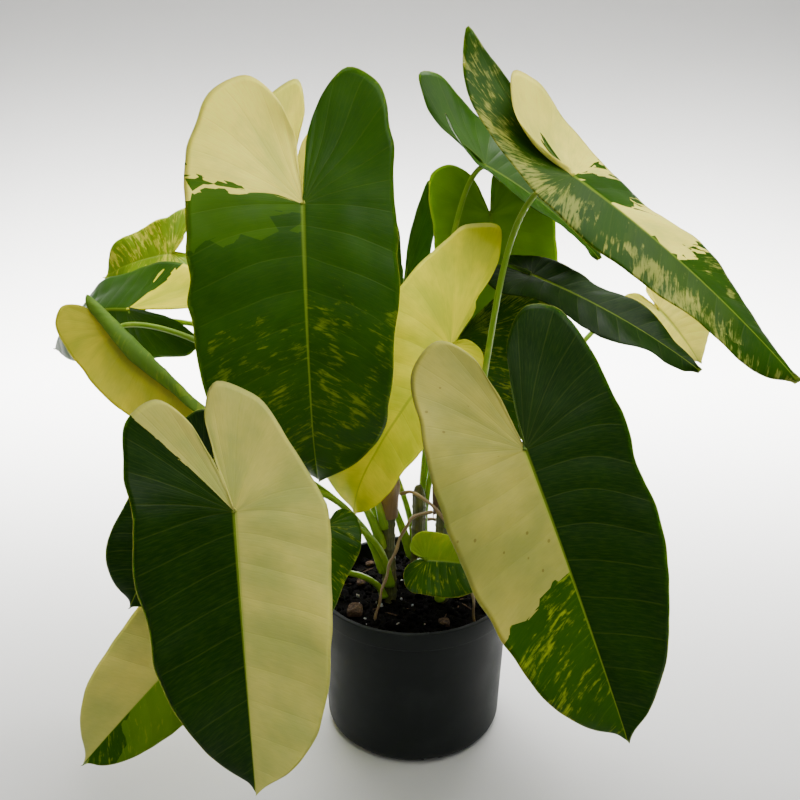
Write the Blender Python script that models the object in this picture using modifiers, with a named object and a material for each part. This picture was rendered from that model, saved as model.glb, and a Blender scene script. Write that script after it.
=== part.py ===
"""A variegated philodendron with arrow-shaped leaves, in a black nursery pot.

The origin is the centre of the pot's underside, +Z is up and the plant's fuller side faces -Y.
Lengths are in metres and angles in degrees.
"""

import math
from dataclasses import dataclass

import bmesh
import bpy
import numpy as np
from mathutils import Euler, Matrix, Vector

# ---- clearances ----
GAP = 0.0003  # between pieces that touch

# ---- pot ----
POT_HEIGHT = 0.1215
RIM_RADIUS = 0.0785
FOOT_RADIUS = 0.0710  # where the wall's outside would meet the floor
POT_WALL = 0.0016
POT_FLOOR = 0.0020
LIP_HEIGHT = 0.014
LIP_STEP = 0.0020  # how far the lip stands out from the wall
FOOT_ROUND = 0.010
DRAIN_COUNT = 8
DRAIN_WIDTH = 0.012
DRAIN_HEIGHT = 0.005
POT_SIDES = 40

# ---- potting mix ----
MIX_BELOW_RIM = 0.0125
MIX_DOME = 0.002
CHIP_COUNT = 7
CHIP_SIZE = (0.013, 0.009, 0.004)

# ---- plant ----
PLANT_SCALE = 1.0  # of every place and length that is measured from the mix's surface
STEM_RADIUS = 0.0065
STEM_BURIED = 0.020
STEM_ABOVE = 0.085
NODE_FIRST = 0.006  # lowest leaf's height on its stem
NODE_STEP = 0.0100
PETIOLE_RADIUS = 0.0026
PETIOLE_REACH = 1.8  # how far below the blade a petiole's centre line ends, in its radii
PETIOLE_POINTS = 9
LEAF_THICKNESS = 0.0009
LOBE_STEPS = 5  # along a half's margin, from the stalk round the lobe
SIDE_STEPS = 8  # and on to the tip
LEAF_LANES = 3  # from the midrib out to the margin
VEIN_BOW = 0.14  # how far a side vein bows back, as a share of its length
ROOT_RADIUS = 0.0013
ROOT_POINTS = 9
ROOT_RIM = 0.0785  # the rim radius and the stem radius that the roots' points are drawn for
ROOT_STEM = 0.0065
SHEATH_HEIGHT = 0.036
SHEATH_THICKNESS = 0.0006
SHEATH_SPREAD = 200  # how much of the stem's top a sheath wraps at its foot

# Half of a blade's outline, from the stalk round the lobe to the tip: the share of the half
# width, and the share of the lobe's length (below zero) or of the blade's length (above zero).
OUTLINE = (
    (0.00, 0.00),
    (0.05, -0.40),
    (0.18, -0.80),
    (0.45, -1.00),
    (0.76, -0.88),
    (0.94, -0.45),
    (1.00, 0.04),
    (0.99, 0.25),
    (0.93, 0.45),
    (0.80, 0.64),
    (0.58, 0.80),
    (0.28, 0.925),
    (0.06, 0.975),
    (0.00, 1.00),
)
LOBE_END = 6  # the outline point where the lobe passes into the blade's side

CREAM = (0.80, 0.76, 0.50, 1)
YELLOW = (0.62, 0.63, 0.12, 1)
GREEN = (0.10, 0.22, 0.02, 1)
DARK_GREEN = (0.02, 0.07, 0.01, 1)
MOTTLED = (0.22, 0.30, 0.06, 1)


@dataclass
class Leaf:
    """One leaf: where its stalk joins, where its tip is and which way its upper side faces.

    Heights are measured from the mix's surface. Pairs are for the halves at the left and
    right of someone who looks at the upper side with the tip pointing down.
    """

    stem: str
    node: int
    joint: tuple
    tip: tuple
    face: tuple
    half: tuple
    lobe: tuple
    colour: tuple
    arch: float = 0.006  # how far the midrib bulges to the upper side
    lobe_lift: float = 0.0  # how far the lobe's end bends to the upper side
    lobe_out: tuple = (0, 0)  # how far each lobe leans away from the midrib's line, as a share of its length
    lobe_fold: tuple = (0, 0)  # each lobe's own rise to the upper side, at its end
    full: tuple = (0, 0)  # how much blunter than the usual outline each half is near the tip
    fold: tuple = (8, 8)  # each half's rise from the midrib to the upper side
    roll: tuple = (0, 0)  # how far each half's cross-section curls to the upper side
    roll_end: float = 1.0  # what is left of the roll at the tip
    wave: float = 0.003  # how far the margin waves up and down
    waves: float = 3.0  # waves along each half's margin
    tip_droop: float = 0.0  # how far the tip drops below the arch
    start: float = None  # direction on the stem that the petiole leaves in
    rise: float = 0.35  # length of the petiole's upright start, as a share of its span
    reach: float = 0.25  # length of its approach to the blade, as a share of its span
    under: float = 0.5  # the approach's turn: 0 square to the blade, 1 with its midrib, -1 against it
    lean: float = 0.35  # how far the petiole's start leans out from the stem


STEMS = {
    "stem_left": (-0.020, -0.006),
    "stem_right": (0.022, -0.008),
    "stem_back": (0.004, 0.026),
}

SHEATHS = {"sheath_left": ("stem_left", -60), "sheath_right": ("stem_right", 100)}

# Aerial roots: the stem, and points from its side to the mix.
ROOTS = {
    "root_front": ("stem_left", (
        (-0.012, -0.013, 0.094), (-0.003, -0.020, 0.099), (0.021, -0.035, 0.085),
        (0.040, -0.046, 0.045), (0.046, -0.048, 0.0035))),
    "root_left": ("stem_right", (
        (0.0145, -0.014, 0.080), (-0.002, -0.022, 0.078), (-0.011, -0.026, 0.062),
        (-0.024, -0.038, 0.028), (-0.030, -0.045, 0.0035))),
    "root_rear": ("stem_back", (
        (0.011, 0.034, 0.050), (0.022, 0.041, 0.046), (0.036, 0.047, 0.024), (0.042, 0.050, 0.0035))),
}

LEAVES = {
    "leaf_top": Leaf(
        "stem_left", 6, (-0.072, -0.064, 0.316), (-0.068, -0.074, 0.123), (0.05, -0.97, 0.20),
        (0.073, 0.058), (0.078, 0.084), GREEN, arch=0.022, tip_droop=0.024, full=(0.3, 0.6),
        lobe_out=(0.0, 0.05), fold=(4, 4), lobe_lift=0.010, under=0.25),
    "leaf_top_rear": Leaf(
        "stem_left", 5, (-0.094, 0.010, 0.308), (-0.110, 0.040, 0.180), (0.1, -0.95, 0.2),
        (0.040, 0.040), (0.085, 0.060), CREAM, lobe_out=(-0.25, 0.1), under=0.25),
    "leaf_front_right": Leaf(
        "stem_right", 2, (0.063, -0.140, 0.180), (0.122, -0.200, 0.021), (0.05, -0.93, 0.36),
        (0.060, 0.060), (0.079, 0.082), CREAM, lobe_out=(0.0, 0.05), start=-45, reach=0.12),
    "leaf_front_left": Leaf(
        "stem_left", 2, (-0.105, -0.170, 0.154), (-0.095, -0.210, -0.007), (0.15, -0.95, 0.25),
        (0.056, 0.052), (0.066, 0.075), DARK_GREEN, lobe_out=(0.22, -0.38), full=(-0.5, 0.5),
        start=-145, rise=0.65, under=-0.25),
    "leaf_low_left": Leaf(
        "stem_left", 0, (-0.120, -0.062, 0.042), (-0.235, -0.120, -0.066), (-0.2, -0.75, 0.6),
        (0.050, 0.045), (0.042, 0.042), CREAM, full=(0.3, 0.0)),
    "leaf_behind_front_left": Leaf(
        "stem_left", 3, (-0.145, -0.073, 0.136), (-0.196, -0.101, 0.049), (-0.3, -0.9, 0.2),
        (0.038, 0.036), (0.040, 0.036), DARK_GREEN, full=(0.5, 0.0), start=-180, under=0.75),
    "leaf_left": Leaf(
        "stem_left", 4, (-0.221, 0.010, 0.217), (-0.101, -0.034, 0.110), (-0.2, -0.85, 0.45),
        (0.039, 0.025), (0.044, 0.036), YELLOW, roll=(10, 260), roll_end=0.4, start=216, rise=0.8,
        reach=0.12),
    "leaf_far_left": Leaf(
        "stem_back", 1, (-0.221, 0.034, 0.228), (-0.313, 0.112, 0.176), (-0.1, -0.50, 0.85),
        (0.056, 0.040), (0.074, 0.060), GREEN, full=(0.6, 0.0), fold=(0, -60), arch=0.015, start=150,
        rise=0.8, reach=0.12, under=0.25),
    "leaf_small_left": Leaf(
        "stem_back", 2, (-0.208, 0.125, 0.258), (-0.273, 0.140, 0.234), (-0.2, -0.75, 0.6),
        (0.031, 0.026), (0.027, 0.023), MOTTLED, lobe_out=(0.9, 0.0), start=110),
    "leaf_centre": Leaf(
        "stem_right", 4, (0.025, -0.022, 0.213), (-0.053, -0.034, 0.084), (-0.35, -0.90, 0.25),
        (0.056, 0.028), (0.090, 0.012), YELLOW, arch=0.022, tip_droop=0.020, full=(0.2, 0.6),
        lobe_out=(0.08, 0.0), fold=(8, -20), start=-65, rise=0.65, reach=0.12, lean=0.7),
    "leaf_behind_centre": Leaf(
        "stem_right", 3, (0.034, 0.035, 0.205), (0.042, -0.005, 0.109), (0.2, -0.9, 0.4),
        (0.042, 0.068), (0.051, 0.043), MOTTLED, lobe_out=(0.0, 0.9), reach=0.12),
    "leaf_upper_right": Leaf(
        "stem_right", 6, (0.098, -0.060, 0.333), (0.224, -0.130, 0.219), (0.45, -0.60, 0.66),
        (0.033, 0.048), (0.116, 0.072), MOTTLED, fold=(-15, -10), lobe_lift=0.035, lobe_fold=(-12, 12),
        lobe_out=(-0.20, -0.25), full=(0.5, -0.9), rise=0.5),
    "leaf_behind_upper_right": Leaf(
        "stem_back", 5, (0.053, 0.050, 0.334), (0.139, 0.030, 0.267), (0.45, -0.60, 0.66),
        (0.030, 0.045), (0.045, 0.085), GREEN, lobe_lift=0.02, lobe_out=(-0.2, 0.15), fold=(25, 5),
        lobe_fold=(40, 0), start=75, rise=0.2, reach=0.12),
    "leaf_right": Leaf(
        "stem_right", 5, (0.089, 0.030, 0.255), (0.206, -0.020, 0.194), (-0.05, -0.40, 0.90),
        (0.036, 0.022), (0.032, 0.030), DARK_GREEN, rise=0.5, reach=0.55, lean=0.7, under=0.75),
    "leaf_back_right": Leaf(
        "stem_back", 4, (0.061, 0.078, 0.295), (0.075, 0.094, 0.152), (0.1, -0.95, 0.2), (0.048, 0.053),
        (0.042, 0.050), GREEN, lobe_out=(0.2, 0.0), start=10, rise=0.2, lean=0.1, under=0.0),
    "leaf_back": Leaf(
        "stem_back", 3, (-0.009, 0.090, 0.231), (-0.018, 0.105, 0.137), (0.3, -0.9, 0.3),
        (0.035, 0.020), (0.070, 0.088), DARK_GREEN, lobe_out=(0.0, 0.12), start=70, rise=0.65, lean=0.7),
    "leaf_low_centre": Leaf(
        "stem_left", 1, (-0.063, -0.070, 0.095), (-0.092, -0.100, 0.015), (0.2, -0.9, 0.3),
        (0.035, 0.026), (0.012, 0.016), GREEN, start=-80, rise=0.5, lean=0.1, under=0.25),
    "leaf_small_low": Leaf(
        "stem_right", 0, (0.009, -0.055, 0.061), (0.058, -0.060, 0.054), (0.0, -0.7, 0.7),
        (0.028, 0.020), (0.014, 0.014), GREEN, reach=0.4),
    "leaf_right_rear": Leaf(
        "stem_right", 1, (0.197, 0.060, 0.222), (0.230, 0.050, 0.181), (-0.1, -0.9, 0.4),
        (0.028, 0.026), (0.025, 0.025), CREAM),
}

MIX_TOP = POT_HEIGHT - MIX_BELOW_RIM


def clear_scene():
    for thing in list(bpy.data.objects):
        bpy.data.objects.remove(thing, do_unlink=True)


def new_collection(name):
    group = bpy.data.collections.new(name)
    bpy.context.scene.collection.children.link(group)
    return group


def new_material(name, colour, roughness):
    material = bpy.data.materials.new(name)
    material.use_nodes = True
    shader = material.node_tree.nodes["Principled BSDF"]
    shader.inputs["Base Color"].default_value = colour
    shader.inputs["Roughness"].default_value = roughness
    shader.inputs["Metallic"].default_value = 0.0
    return material


def add_mesh(name, group, verts, faces, material, doubles=1e-6):
    """A mesh object whose coincident points are merged and whose faces agree."""
    mesh = bpy.data.meshes.new(name)
    mesh.from_pydata([tuple(v) for v in verts], [], faces)
    solid = bmesh.new()
    solid.from_mesh(mesh)
    bmesh.ops.remove_doubles(solid, verts=solid.verts, dist=doubles)
    bmesh.ops.recalc_face_normals(solid, faces=solid.faces)
    solid.to_mesh(mesh)
    solid.free()
    mesh.shade_smooth()
    thing = bpy.data.objects.new(name, mesh)
    thing.data.materials.append(material)
    group.objects.link(thing)
    return thing


def smooth_line(points, share):
    """Points on a smooth line through the given ones, at shares of the way along it."""
    points = np.asarray(points, float)
    step = np.linalg.norm(np.diff(points, axis=0), axis=1)
    at = np.concatenate([[0.0], np.cumsum(step)]) / step.sum()
    slope = np.gradient(points, at, axis=0)
    cell = np.clip(np.searchsorted(at, share, "right") - 1, 0, len(step) - 1)
    span = (at[cell + 1] - at[cell])[:, None]
    f = (share - at[cell])[:, None] / span
    return (
        (1 + 2 * f) * (1 - f) ** 2 * points[cell]
        + f * (1 - f) ** 2 * span * slope[cell]
        + f**2 * (3 - 2 * f) * points[cell + 1]
        + f**2 * (f - 1) * span * slope[cell + 1]
    )


def share_at(points, index):
    """How far along a line its point of that index lies, as a share."""
    step = np.linalg.norm(np.diff(np.asarray(points, float), axis=0), axis=1)
    return step[:index].sum() / step.sum()


def unit(vector):
    vector = np.asarray(vector, float)
    return vector / np.linalg.norm(vector)


def place(point):
    """A plant point, given from the mix's surface, in the part's frame."""
    return np.array(point) * PLANT_SCALE + np.array([0.0, 0.0, MIX_TOP])


def leaf_axes(leaf):
    """The blade's joint, length, and its directions: to the tip, across, and to the upper side."""
    joint = place(leaf.joint)
    chord = place(leaf.tip) - joint
    length = np.linalg.norm(chord)
    along = chord / length
    face = np.asarray(leaf.face, float)
    up = unit(face - along * (face @ along))
    across = np.cross(up, along)
    return joint, length, along, across, up


def half_grid(leaf, side):
    """One half of a blade as a grid of points: side is -1 at the viewer's left, 1 at the right."""
    joint, length, along, across, up = leaf_axes(leaf)
    pair = 0 if side < 0 else 1
    width = leaf.half[pair] * PLANT_SCALE
    lobe = leaf.lobe[pair] * PLANT_SCALE
    blunt = leaf.full[pair]
    edge_points = [
        (width * (x + blunt * x * (1 - x) * (y > 0)), y * (length if y > 0 else lobe)) for x, y in OUTLINE
    ]
    lobe_share = share_at(edge_points, LOBE_END)
    side_steps = np.linspace(0.0, 1.0, SIDE_STEPS + 1)
    share = np.concatenate([
        np.linspace(0.0, lobe_share, LOBE_STEPS + 1),
        lobe_share + (1 - lobe_share) * side_steps[1:]])
    edge = smooth_line(edge_points, share)
    root = length * np.concatenate([np.zeros(LOBE_STEPS), side_steps**1.2])
    lane = np.linspace(0.0, 1.0, LEAF_LANES + 1)[None, :]
    x = edge[:, :1] * lane
    reach = np.hypot(edge[:, 0], edge[:, 1] - root)[:, None]
    y = root[:, None] + (edge[:, 1] - root)[:, None] * lane - VEIN_BOW * reach * lane * (1 - lane)
    return bend(leaf, side, x, y, lane, share[:, None], length, width, lobe, joint, along, across, up)


def bend(leaf, side, x, y, lane, share, length, width, lobe, joint, along, across, up):
    """A flat half blade's points, x out from the midrib and y to the tip, in their true places."""
    pair = 0 if side < 0 else 1
    arch = leaf.arch * PLANT_SCALE
    q = y / length
    body = np.clip(q, 0, None)
    back = np.clip(-y / lobe, 0, None)
    lift = arch * 4 * body * (1 - body) - arch * 4 * back * lobe / length
    lift = lift + leaf.lobe_lift * PLANT_SCALE * back**2
    lift = lift - leaf.tip_droop * PLANT_SCALE * np.clip((q - 0.65) / 0.35, 0, None) ** 2
    slope = arch * 4 * (1 - 2 * body) / length
    x = x + leaf.lobe_out[pair] * back * lobe
    fold = np.radians(leaf.fold[pair]) + np.radians(leaf.lobe_fold[pair]) * np.clip(back, 0, 1)
    roll = np.radians(leaf.roll[pair]) * (1 - (1 - leaf.roll_end) * np.clip(q, 0, 1)) + 1e-4
    bow = width / roll
    flat = bow * np.sin(x / bow)
    high = bow * (1 - np.cos(x / bow))
    out = side * (flat * np.cos(fold) - high * np.sin(fold))
    rise = flat * np.sin(fold) + high * np.cos(fold)
    rise = rise + leaf.wave * PLANT_SCALE * lane**2 * np.sin(2 * math.pi * leaf.waves * share + side)
    normal_up = 1 / np.sqrt(1 + slope**2)
    move_along = y - rise * slope * normal_up
    move_up = lift + rise * normal_up
    return joint + move_along[..., None] * along + out[..., None] * across + move_up[..., None] * up


def grid_faces(rows, columns, first, flip):
    """Quads of a grid of points that starts at the given index."""
    faces = []
    for row in range(rows - 1):
        for column in range(columns - 1):
            a = first + row * columns + column
            quad = (a, a + 1, a + columns + 1, a + columns)
            faces.append(quad[::-1] if flip else quad)
    return faces


def build_blade(name, leaf, group):
    verts, faces = [], []
    for side in (-1, 1):
        grid = half_grid(leaf, side)
        faces += grid_faces(grid.shape[0], grid.shape[1], len(verts), side > 0)
        verts += list(grid.reshape(-1, 3))
    blade = add_mesh(name, group, verts, faces, new_material(name, leaf.colour, 0.4), doubles=2e-5)
    skin = blade.modifiers.new("thickness", "SOLIDIFY")
    skin.thickness = LEAF_THICKNESS
    skin.offset = 0.0
    return blade


def tube(name, group, points, radius, material, sides=2):
    """A rod of the given radius along points, closed at its ends."""
    line = bpy.data.curves.new(name, "CURVE")
    line.dimensions = "3D"
    line.bevel_depth = radius
    line.bevel_resolution = sides
    line.use_fill_caps = True
    path = line.splines.new("POLY")
    path.points.add(len(points) - 1)
    for point, at in zip(path.points, points):
        point.co = (*at, 1.0)
    thing = bpy.data.objects.new(name, line)
    thing.data.materials.append(material)
    group.objects.link(thing)
    return thing


def petiole_line(leaf):
    """The petiole's centre line: up from its node on the stem, then over to the blade's back."""
    joint, length, along, across, up = leaf_axes(leaf)
    stem = np.array([*STEMS[leaf.stem], 0.0])
    to_joint = np.array(leaf.joint) - stem
    heading = math.radians(leaf.start) if leaf.start is not None else math.atan2(to_joint[1], to_joint[0])
    out = np.array([math.cos(heading), math.sin(heading), 0.0])
    foot = stem * PLANT_SCALE + out * (STEM_RADIUS + PETIOLE_RADIUS + GAP) * 1.02
    foot[2] = MIX_TOP + NODE_FIRST + NODE_STEP * leaf.node
    end = joint - up * (PETIOLE_RADIUS * PETIOLE_REACH + LEAF_THICKNESS / 2 + GAP)
    span = np.linalg.norm(end - foot)
    leave = unit(out * leaf.lean + np.array([0, 0, 1.0]))
    arrive = unit(up * (1 - abs(leaf.under)) + along * leaf.under)
    a, b = foot + leave * span * leaf.rise, end - arrive * span * leaf.reach
    t = np.linspace(0, 1, PETIOLE_POINTS)[:, None]
    return (1 - t) ** 3 * foot + 3 * t * (1 - t) ** 2 * a + 3 * t**2 * (1 - t) * b + t**3 * end


def turned(name, group, profile, steps, material):
    """A profile of (radius, height) points turned about the Z axis, top to bottom outside."""
    mesh = bpy.data.meshes.new(name)
    mesh.from_pydata([(r, 0.0, z) for r, z in profile], [(i, i + 1) for i in range(len(profile) - 1)], [])
    thing = bpy.data.objects.new(name, mesh)
    thing.data.materials.append(material)
    group.objects.link(thing)
    screw = thing.modifiers.new("turn", "SCREW")
    screw.steps = steps
    screw.render_steps = steps
    screw.use_merge_vertices = True
    screw.merge_threshold = 1e-5
    screw.use_smooth_shade = True
    return thing


def wall_radius(height):
    """The pot's outer wall radius below the lip at a height."""
    return FOOT_RADIUS + (RIM_RADIUS - LIP_STEP - FOOT_RADIUS) * height / POT_HEIGHT


def build_pot(group, cutters):
    material = new_material("pot", (0.02, 0.021, 0.023, 1), 0.6)
    lip_low = POT_HEIGHT - LIP_HEIGHT
    bend_steps = [math.radians(a) for a in (0, 30, 60, 90)]
    round_x = wall_radius(FOOT_ROUND) - FOOT_ROUND
    outside = [(RIM_RADIUS - POT_WALL * 0.6, POT_HEIGHT), (RIM_RADIUS, POT_HEIGHT - POT_WALL * 0.6)]
    outside += [(RIM_RADIUS - 0.0004, lip_low), (wall_radius(lip_low), lip_low - LIP_STEP * 0.5)]
    outside += [
        (round_x + FOOT_ROUND * math.cos(a), FOOT_ROUND - FOOT_ROUND * math.sin(a)) for a in bend_steps
    ]
    inner = FOOT_ROUND - POT_WALL
    inside = [
        (round_x + inner * math.cos(a), FOOT_ROUND - (FOOT_ROUND - POT_FLOOR) * math.sin(a))
        for a in bend_steps[::-1]
    ]
    inside += [(RIM_RADIUS - LIP_STEP - POT_WALL, POT_HEIGHT)]
    profile = outside + [(0.0, 0.0), (0.0, POT_FLOOR)] + inside
    profile.append(profile[0])
    pot = turned("pot", group, profile, POT_SIDES, material)
    for index in range(DRAIN_COUNT):
        angle = 2 * math.pi * (index + 0.25) / DRAIN_COUNT
        mesh = bpy.data.meshes.new("drain_cutter")
        block = bmesh.new()
        bmesh.ops.create_cube(block, size=1.0)
        bmesh.ops.scale(block, vec=(FOOT_ROUND * 1.2, DRAIN_WIDTH, DRAIN_HEIGHT * 2), verts=block.verts)
        block.to_mesh(mesh)
        block.free()
        cutter = bpy.data.objects.new(f"drain_cutter_{index + 1}", mesh)
        reach = wall_radius(0) - FOOT_ROUND * 0.25
        cutter.location = (reach * math.cos(angle), reach * math.sin(angle), 0.0)
        cutter.rotation_euler = (0, 0, angle)
        cutter.hide_render = True
        cutter.display_type = "WIRE"
        cutters.objects.link(cutter)
        cut = pot.modifiers.new("drain", "BOOLEAN")
        cut.operation = "DIFFERENCE"
        cut.object = cutter
    return pot


def inner_radius(height):
    """The pot's inside radius at a height, between the foot's round and the rim."""
    low = wall_radius(FOOT_ROUND) - POT_WALL
    high = RIM_RADIUS - LIP_STEP - POT_WALL
    return low + (high - low) * (height - FOOT_ROUND) / (POT_HEIGHT - FOOT_ROUND)


def build_mix(group, cutters):
    material = new_material("potting_mix", (0.02, 0.014, 0.01, 1), 0.95)
    fit = POT_WALL * 0.25 + GAP  # the turned wall is a polygon, so its flats stand nearer the axis
    base = POT_FLOOR + GAP
    profile = [
        (0.0, MIX_TOP),
        (inner_radius(MIX_TOP) * 0.5, MIX_TOP - MIX_DOME * 0.3),
        (inner_radius(MIX_TOP) - fit, MIX_TOP - MIX_DOME),
        (inner_radius(FOOT_ROUND) - fit, FOOT_ROUND),
        (inner_radius(FOOT_ROUND) - FOOT_ROUND, base),
        (0.0, base),
    ]
    mix = turned("potting_mix", group, profile, POT_SIDES, material)
    for name, (x, y) in STEMS.items():
        mesh = bpy.data.meshes.new("stem_hole")
        hole = bmesh.new()
        bmesh.ops.create_cone(
            hole, cap_ends=True, segments=16, radius1=STEM_RADIUS + 3 * GAP,
            radius2=STEM_RADIUS + 3 * GAP, depth=2 * (STEM_BURIED + GAP))
        hole.to_mesh(mesh)
        hole.free()
        cutter = bpy.data.objects.new(f"{name}_hole", mesh)
        cutter.location = (x * PLANT_SCALE, y * PLANT_SCALE, MIX_TOP)
        cutter.hide_render = True
        cutter.display_type = "WIRE"
        cutters.objects.link(cutter)
        cut = mix.modifiers.new("stem hole", "BOOLEAN")
        cut.operation = "DIFFERENCE"
        cut.object = cutter
    return mix


def mix_height(radius):
    """The height of the mix's surface at a distance from the pot's axis."""
    rim = inner_radius(MIX_TOP)
    drop = np.interp(radius / rim, (0.0, 0.5, 1.0), (0.0, 0.3, 1.0))
    return MIX_TOP - MIX_DOME * drop


def build_chips(group):
    """Bark chips on the mix, evenly spread round the stems: each turns by the golden angle."""
    material = new_material("bark_chip", (0.09, 0.05, 0.025, 1), 0.85)
    golden = math.pi * (3 - math.sqrt(5))
    outer = inner_radius(MIX_TOP) - CHIP_SIZE[0]
    inner = outer * 0.66
    for index in range(CHIP_COUNT):
        radius = math.sqrt(inner**2 + (outer**2 - inner**2) * (index + 0.5) / CHIP_COUNT)
        angle = 0.4 + golden * index
        size = Vector(CHIP_SIZE) * (0.80 + 0.20 * math.sin(5 * index))
        turn = Euler((0.25 * math.sin(3 * index), 0.25 * math.cos(4 * index), 2.1 * index))
        at = Matrix.Translation((radius * math.cos(angle), radius * math.sin(angle), MIX_TOP))
        chip = bmesh.new()
        shape = turn.to_matrix().to_4x4() @ Matrix.Diagonal((*size, 1))
        bmesh.ops.create_cube(chip, size=1.0, matrix=at @ shape)
        lift = max(mix_height(math.hypot(v.co.x, v.co.y)) + GAP - v.co.z for v in chip.verts)
        bmesh.ops.translate(chip, verts=chip.verts, vec=(0, 0, lift))
        name = f"bark_chip_{index + 1}"
        mesh = bpy.data.meshes.new(name)
        chip.to_mesh(mesh)
        chip.free()
        thing = bpy.data.objects.new(name, mesh)
        thing.data.materials.append(material)
        group.objects.link(thing)
        edge = thing.modifiers.new("worn edges", "BEVEL")
        edge.width = CHIP_SIZE[2] * 0.2
        edge.segments = 1


def build_sheaths(group):
    """Dry papery sheaths: pointed half tubes that wrap the tops of stems."""
    for name, (stem, heading) in SHEATHS.items():
        x, y = (v * PLANT_SCALE for v in STEMS[stem])
        rows, columns = 7, 7
        up = np.linspace(0.0, 1.0, rows)[:, None]
        across = np.linspace(-0.5, 0.5, columns)[None, :]
        spread = math.radians(SHEATH_SPREAD) * (1 - 0.92 * up**1.5)
        radius = STEM_RADIUS + SHEATH_THICKNESS + GAP + 0.004 * up**2
        angle = math.radians(heading) + across * spread
        low = MIX_TOP + STEM_ABOVE - SHEATH_HEIGHT * 0.35
        verts = np.stack([
            x + radius * np.cos(angle), y + radius * np.sin(angle),
            low + SHEATH_HEIGHT * up + 0 * angle], axis=-1)
        material = new_material(name, (0.22, 0.12, 0.06, 1), 0.7)
        faces = grid_faces(rows, columns, 0, False)
        sheath = add_mesh(name, group, verts.reshape(-1, 3), faces, material)
        skin = sheath.modifiers.new("thickness", "SOLIDIFY")
        skin.thickness = SHEATH_THICKNESS
        skin.offset = 0.0


def build_roots(group):
    material = new_material("aerial_root", (0.30, 0.20, 0.11, 1), 0.7)
    for name, (stem, points) in ROOTS.items():
        points = np.array(points)
        held = np.linspace(0, 1, len(points))[:, None]  # by the pot: none at the stem, all at the mix
        points[:, :2] *= 1 + held * (RIM_RADIUS / ROOT_RIM / PLANT_SCALE - 1)
        points[:, :2] += (1 - held) * unit(points[0, :2] - STEMS[stem]) * (STEM_RADIUS - ROOT_STEM)
        line = smooth_line([place(p) for p in points], np.linspace(0, 1, ROOT_POINTS))
        tube(name, group, line, ROOT_RADIUS, material, 1)


def build_stems(group):
    material = new_material("stem", (0.13, 0.17, 0.05, 1), 0.6)
    for name, (x, y) in STEMS.items():
        low, high = MIX_TOP - STEM_BURIED, MIX_TOP + STEM_ABOVE
        rings = [(0.0, high), (STEM_RADIUS * 0.6, high - 0.001), (STEM_RADIUS * 0.95, high - 0.006)]
        rings += [(STEM_RADIUS, MIX_TOP), (STEM_RADIUS * 0.9, low + 0.003), (0.0, low)]
        stem = turned(name, group, rings, 12, material)
        stem.location = (x * PLANT_SCALE, y * PLANT_SCALE, 0)


def build_leaves(group):
    stalk = new_material("petiole", (0.22, 0.30, 0.06, 1), 0.45)
    for name, leaf in LEAVES.items():
        build_blade(name, leaf, group)
        tube(name.replace("leaf", "petiole"), group, petiole_line(leaf), PETIOLE_RADIUS, stalk, 1)


def main():
    clear_scene()
    group = new_collection("potted_philodendron")
    cutters = new_collection("cutters")
    build_pot(group, cutters)
    build_mix(group, cutters)
    build_chips(group)
    build_stems(group)
    build_sheaths(group)
    build_roots(group)
    build_leaves(group)


main()
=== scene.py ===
"""A variegated philodendron in a black nursery pot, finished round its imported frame.

A blade is a sheet with two coordinates: "vein" runs along the margin, from -1 at the notch behind
the stalk through 0 beside the stalk to 1 at the tip, and "lane" runs along a side vein, from the
midrib (0) to the margin (1). Lengths are in metres and angles in degrees. The plant's points are
measured from the mix's surface, on the pot's axis.
"""

import math
from dataclasses import dataclass

import bpy
import numpy as np
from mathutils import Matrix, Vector


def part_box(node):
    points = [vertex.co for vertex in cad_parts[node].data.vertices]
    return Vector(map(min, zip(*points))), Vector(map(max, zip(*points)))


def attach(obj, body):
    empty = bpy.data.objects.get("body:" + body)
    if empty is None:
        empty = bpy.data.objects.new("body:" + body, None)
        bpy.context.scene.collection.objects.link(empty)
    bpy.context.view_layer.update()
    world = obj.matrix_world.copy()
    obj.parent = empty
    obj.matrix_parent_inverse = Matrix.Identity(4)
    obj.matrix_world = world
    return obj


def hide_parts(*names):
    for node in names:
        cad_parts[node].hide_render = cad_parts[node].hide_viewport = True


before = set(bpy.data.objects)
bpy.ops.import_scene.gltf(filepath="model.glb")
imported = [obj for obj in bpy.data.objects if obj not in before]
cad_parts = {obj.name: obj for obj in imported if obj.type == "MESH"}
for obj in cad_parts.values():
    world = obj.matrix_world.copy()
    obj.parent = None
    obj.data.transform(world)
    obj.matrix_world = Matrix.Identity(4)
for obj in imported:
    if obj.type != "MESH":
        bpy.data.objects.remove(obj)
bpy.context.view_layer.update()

# ---- the frame's own sizes ----
POT_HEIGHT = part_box("pot")[1].z
RIM_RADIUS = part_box("pot")[1].x
MIX_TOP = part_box("potting_mix")[1].z

# ---- pot ----
FOOT_RADIUS = 0.0710
POT_WALL = 0.0016
POT_FLOOR = 0.0020
LIP_HEIGHT = 0.014
LIP_STEP = 0.0020
FOOT_ROUND = 0.010
DRAIN_COUNT = 8
DRAIN_WIDTH = 0.012
DRAIN_HEIGHT = 0.005
POT_SIDES = 192
LIP_ROUND = 0.0007
LIP_TAPER = 0.0004  # how much narrower the lip is at its lower edge

# ---- mix ----
MIX_DOME = 0.002
MIX_GAP = 0.0004  # between the mix and the pot
CLODS = ((0.0020, 0.017, 5), (0.0011, 0.0065, 6), (0.0006, 0.0026, 7))  # height, size, seed
CRUMBS = 900
PERLITE = 30
FIBRES = 16

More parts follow.
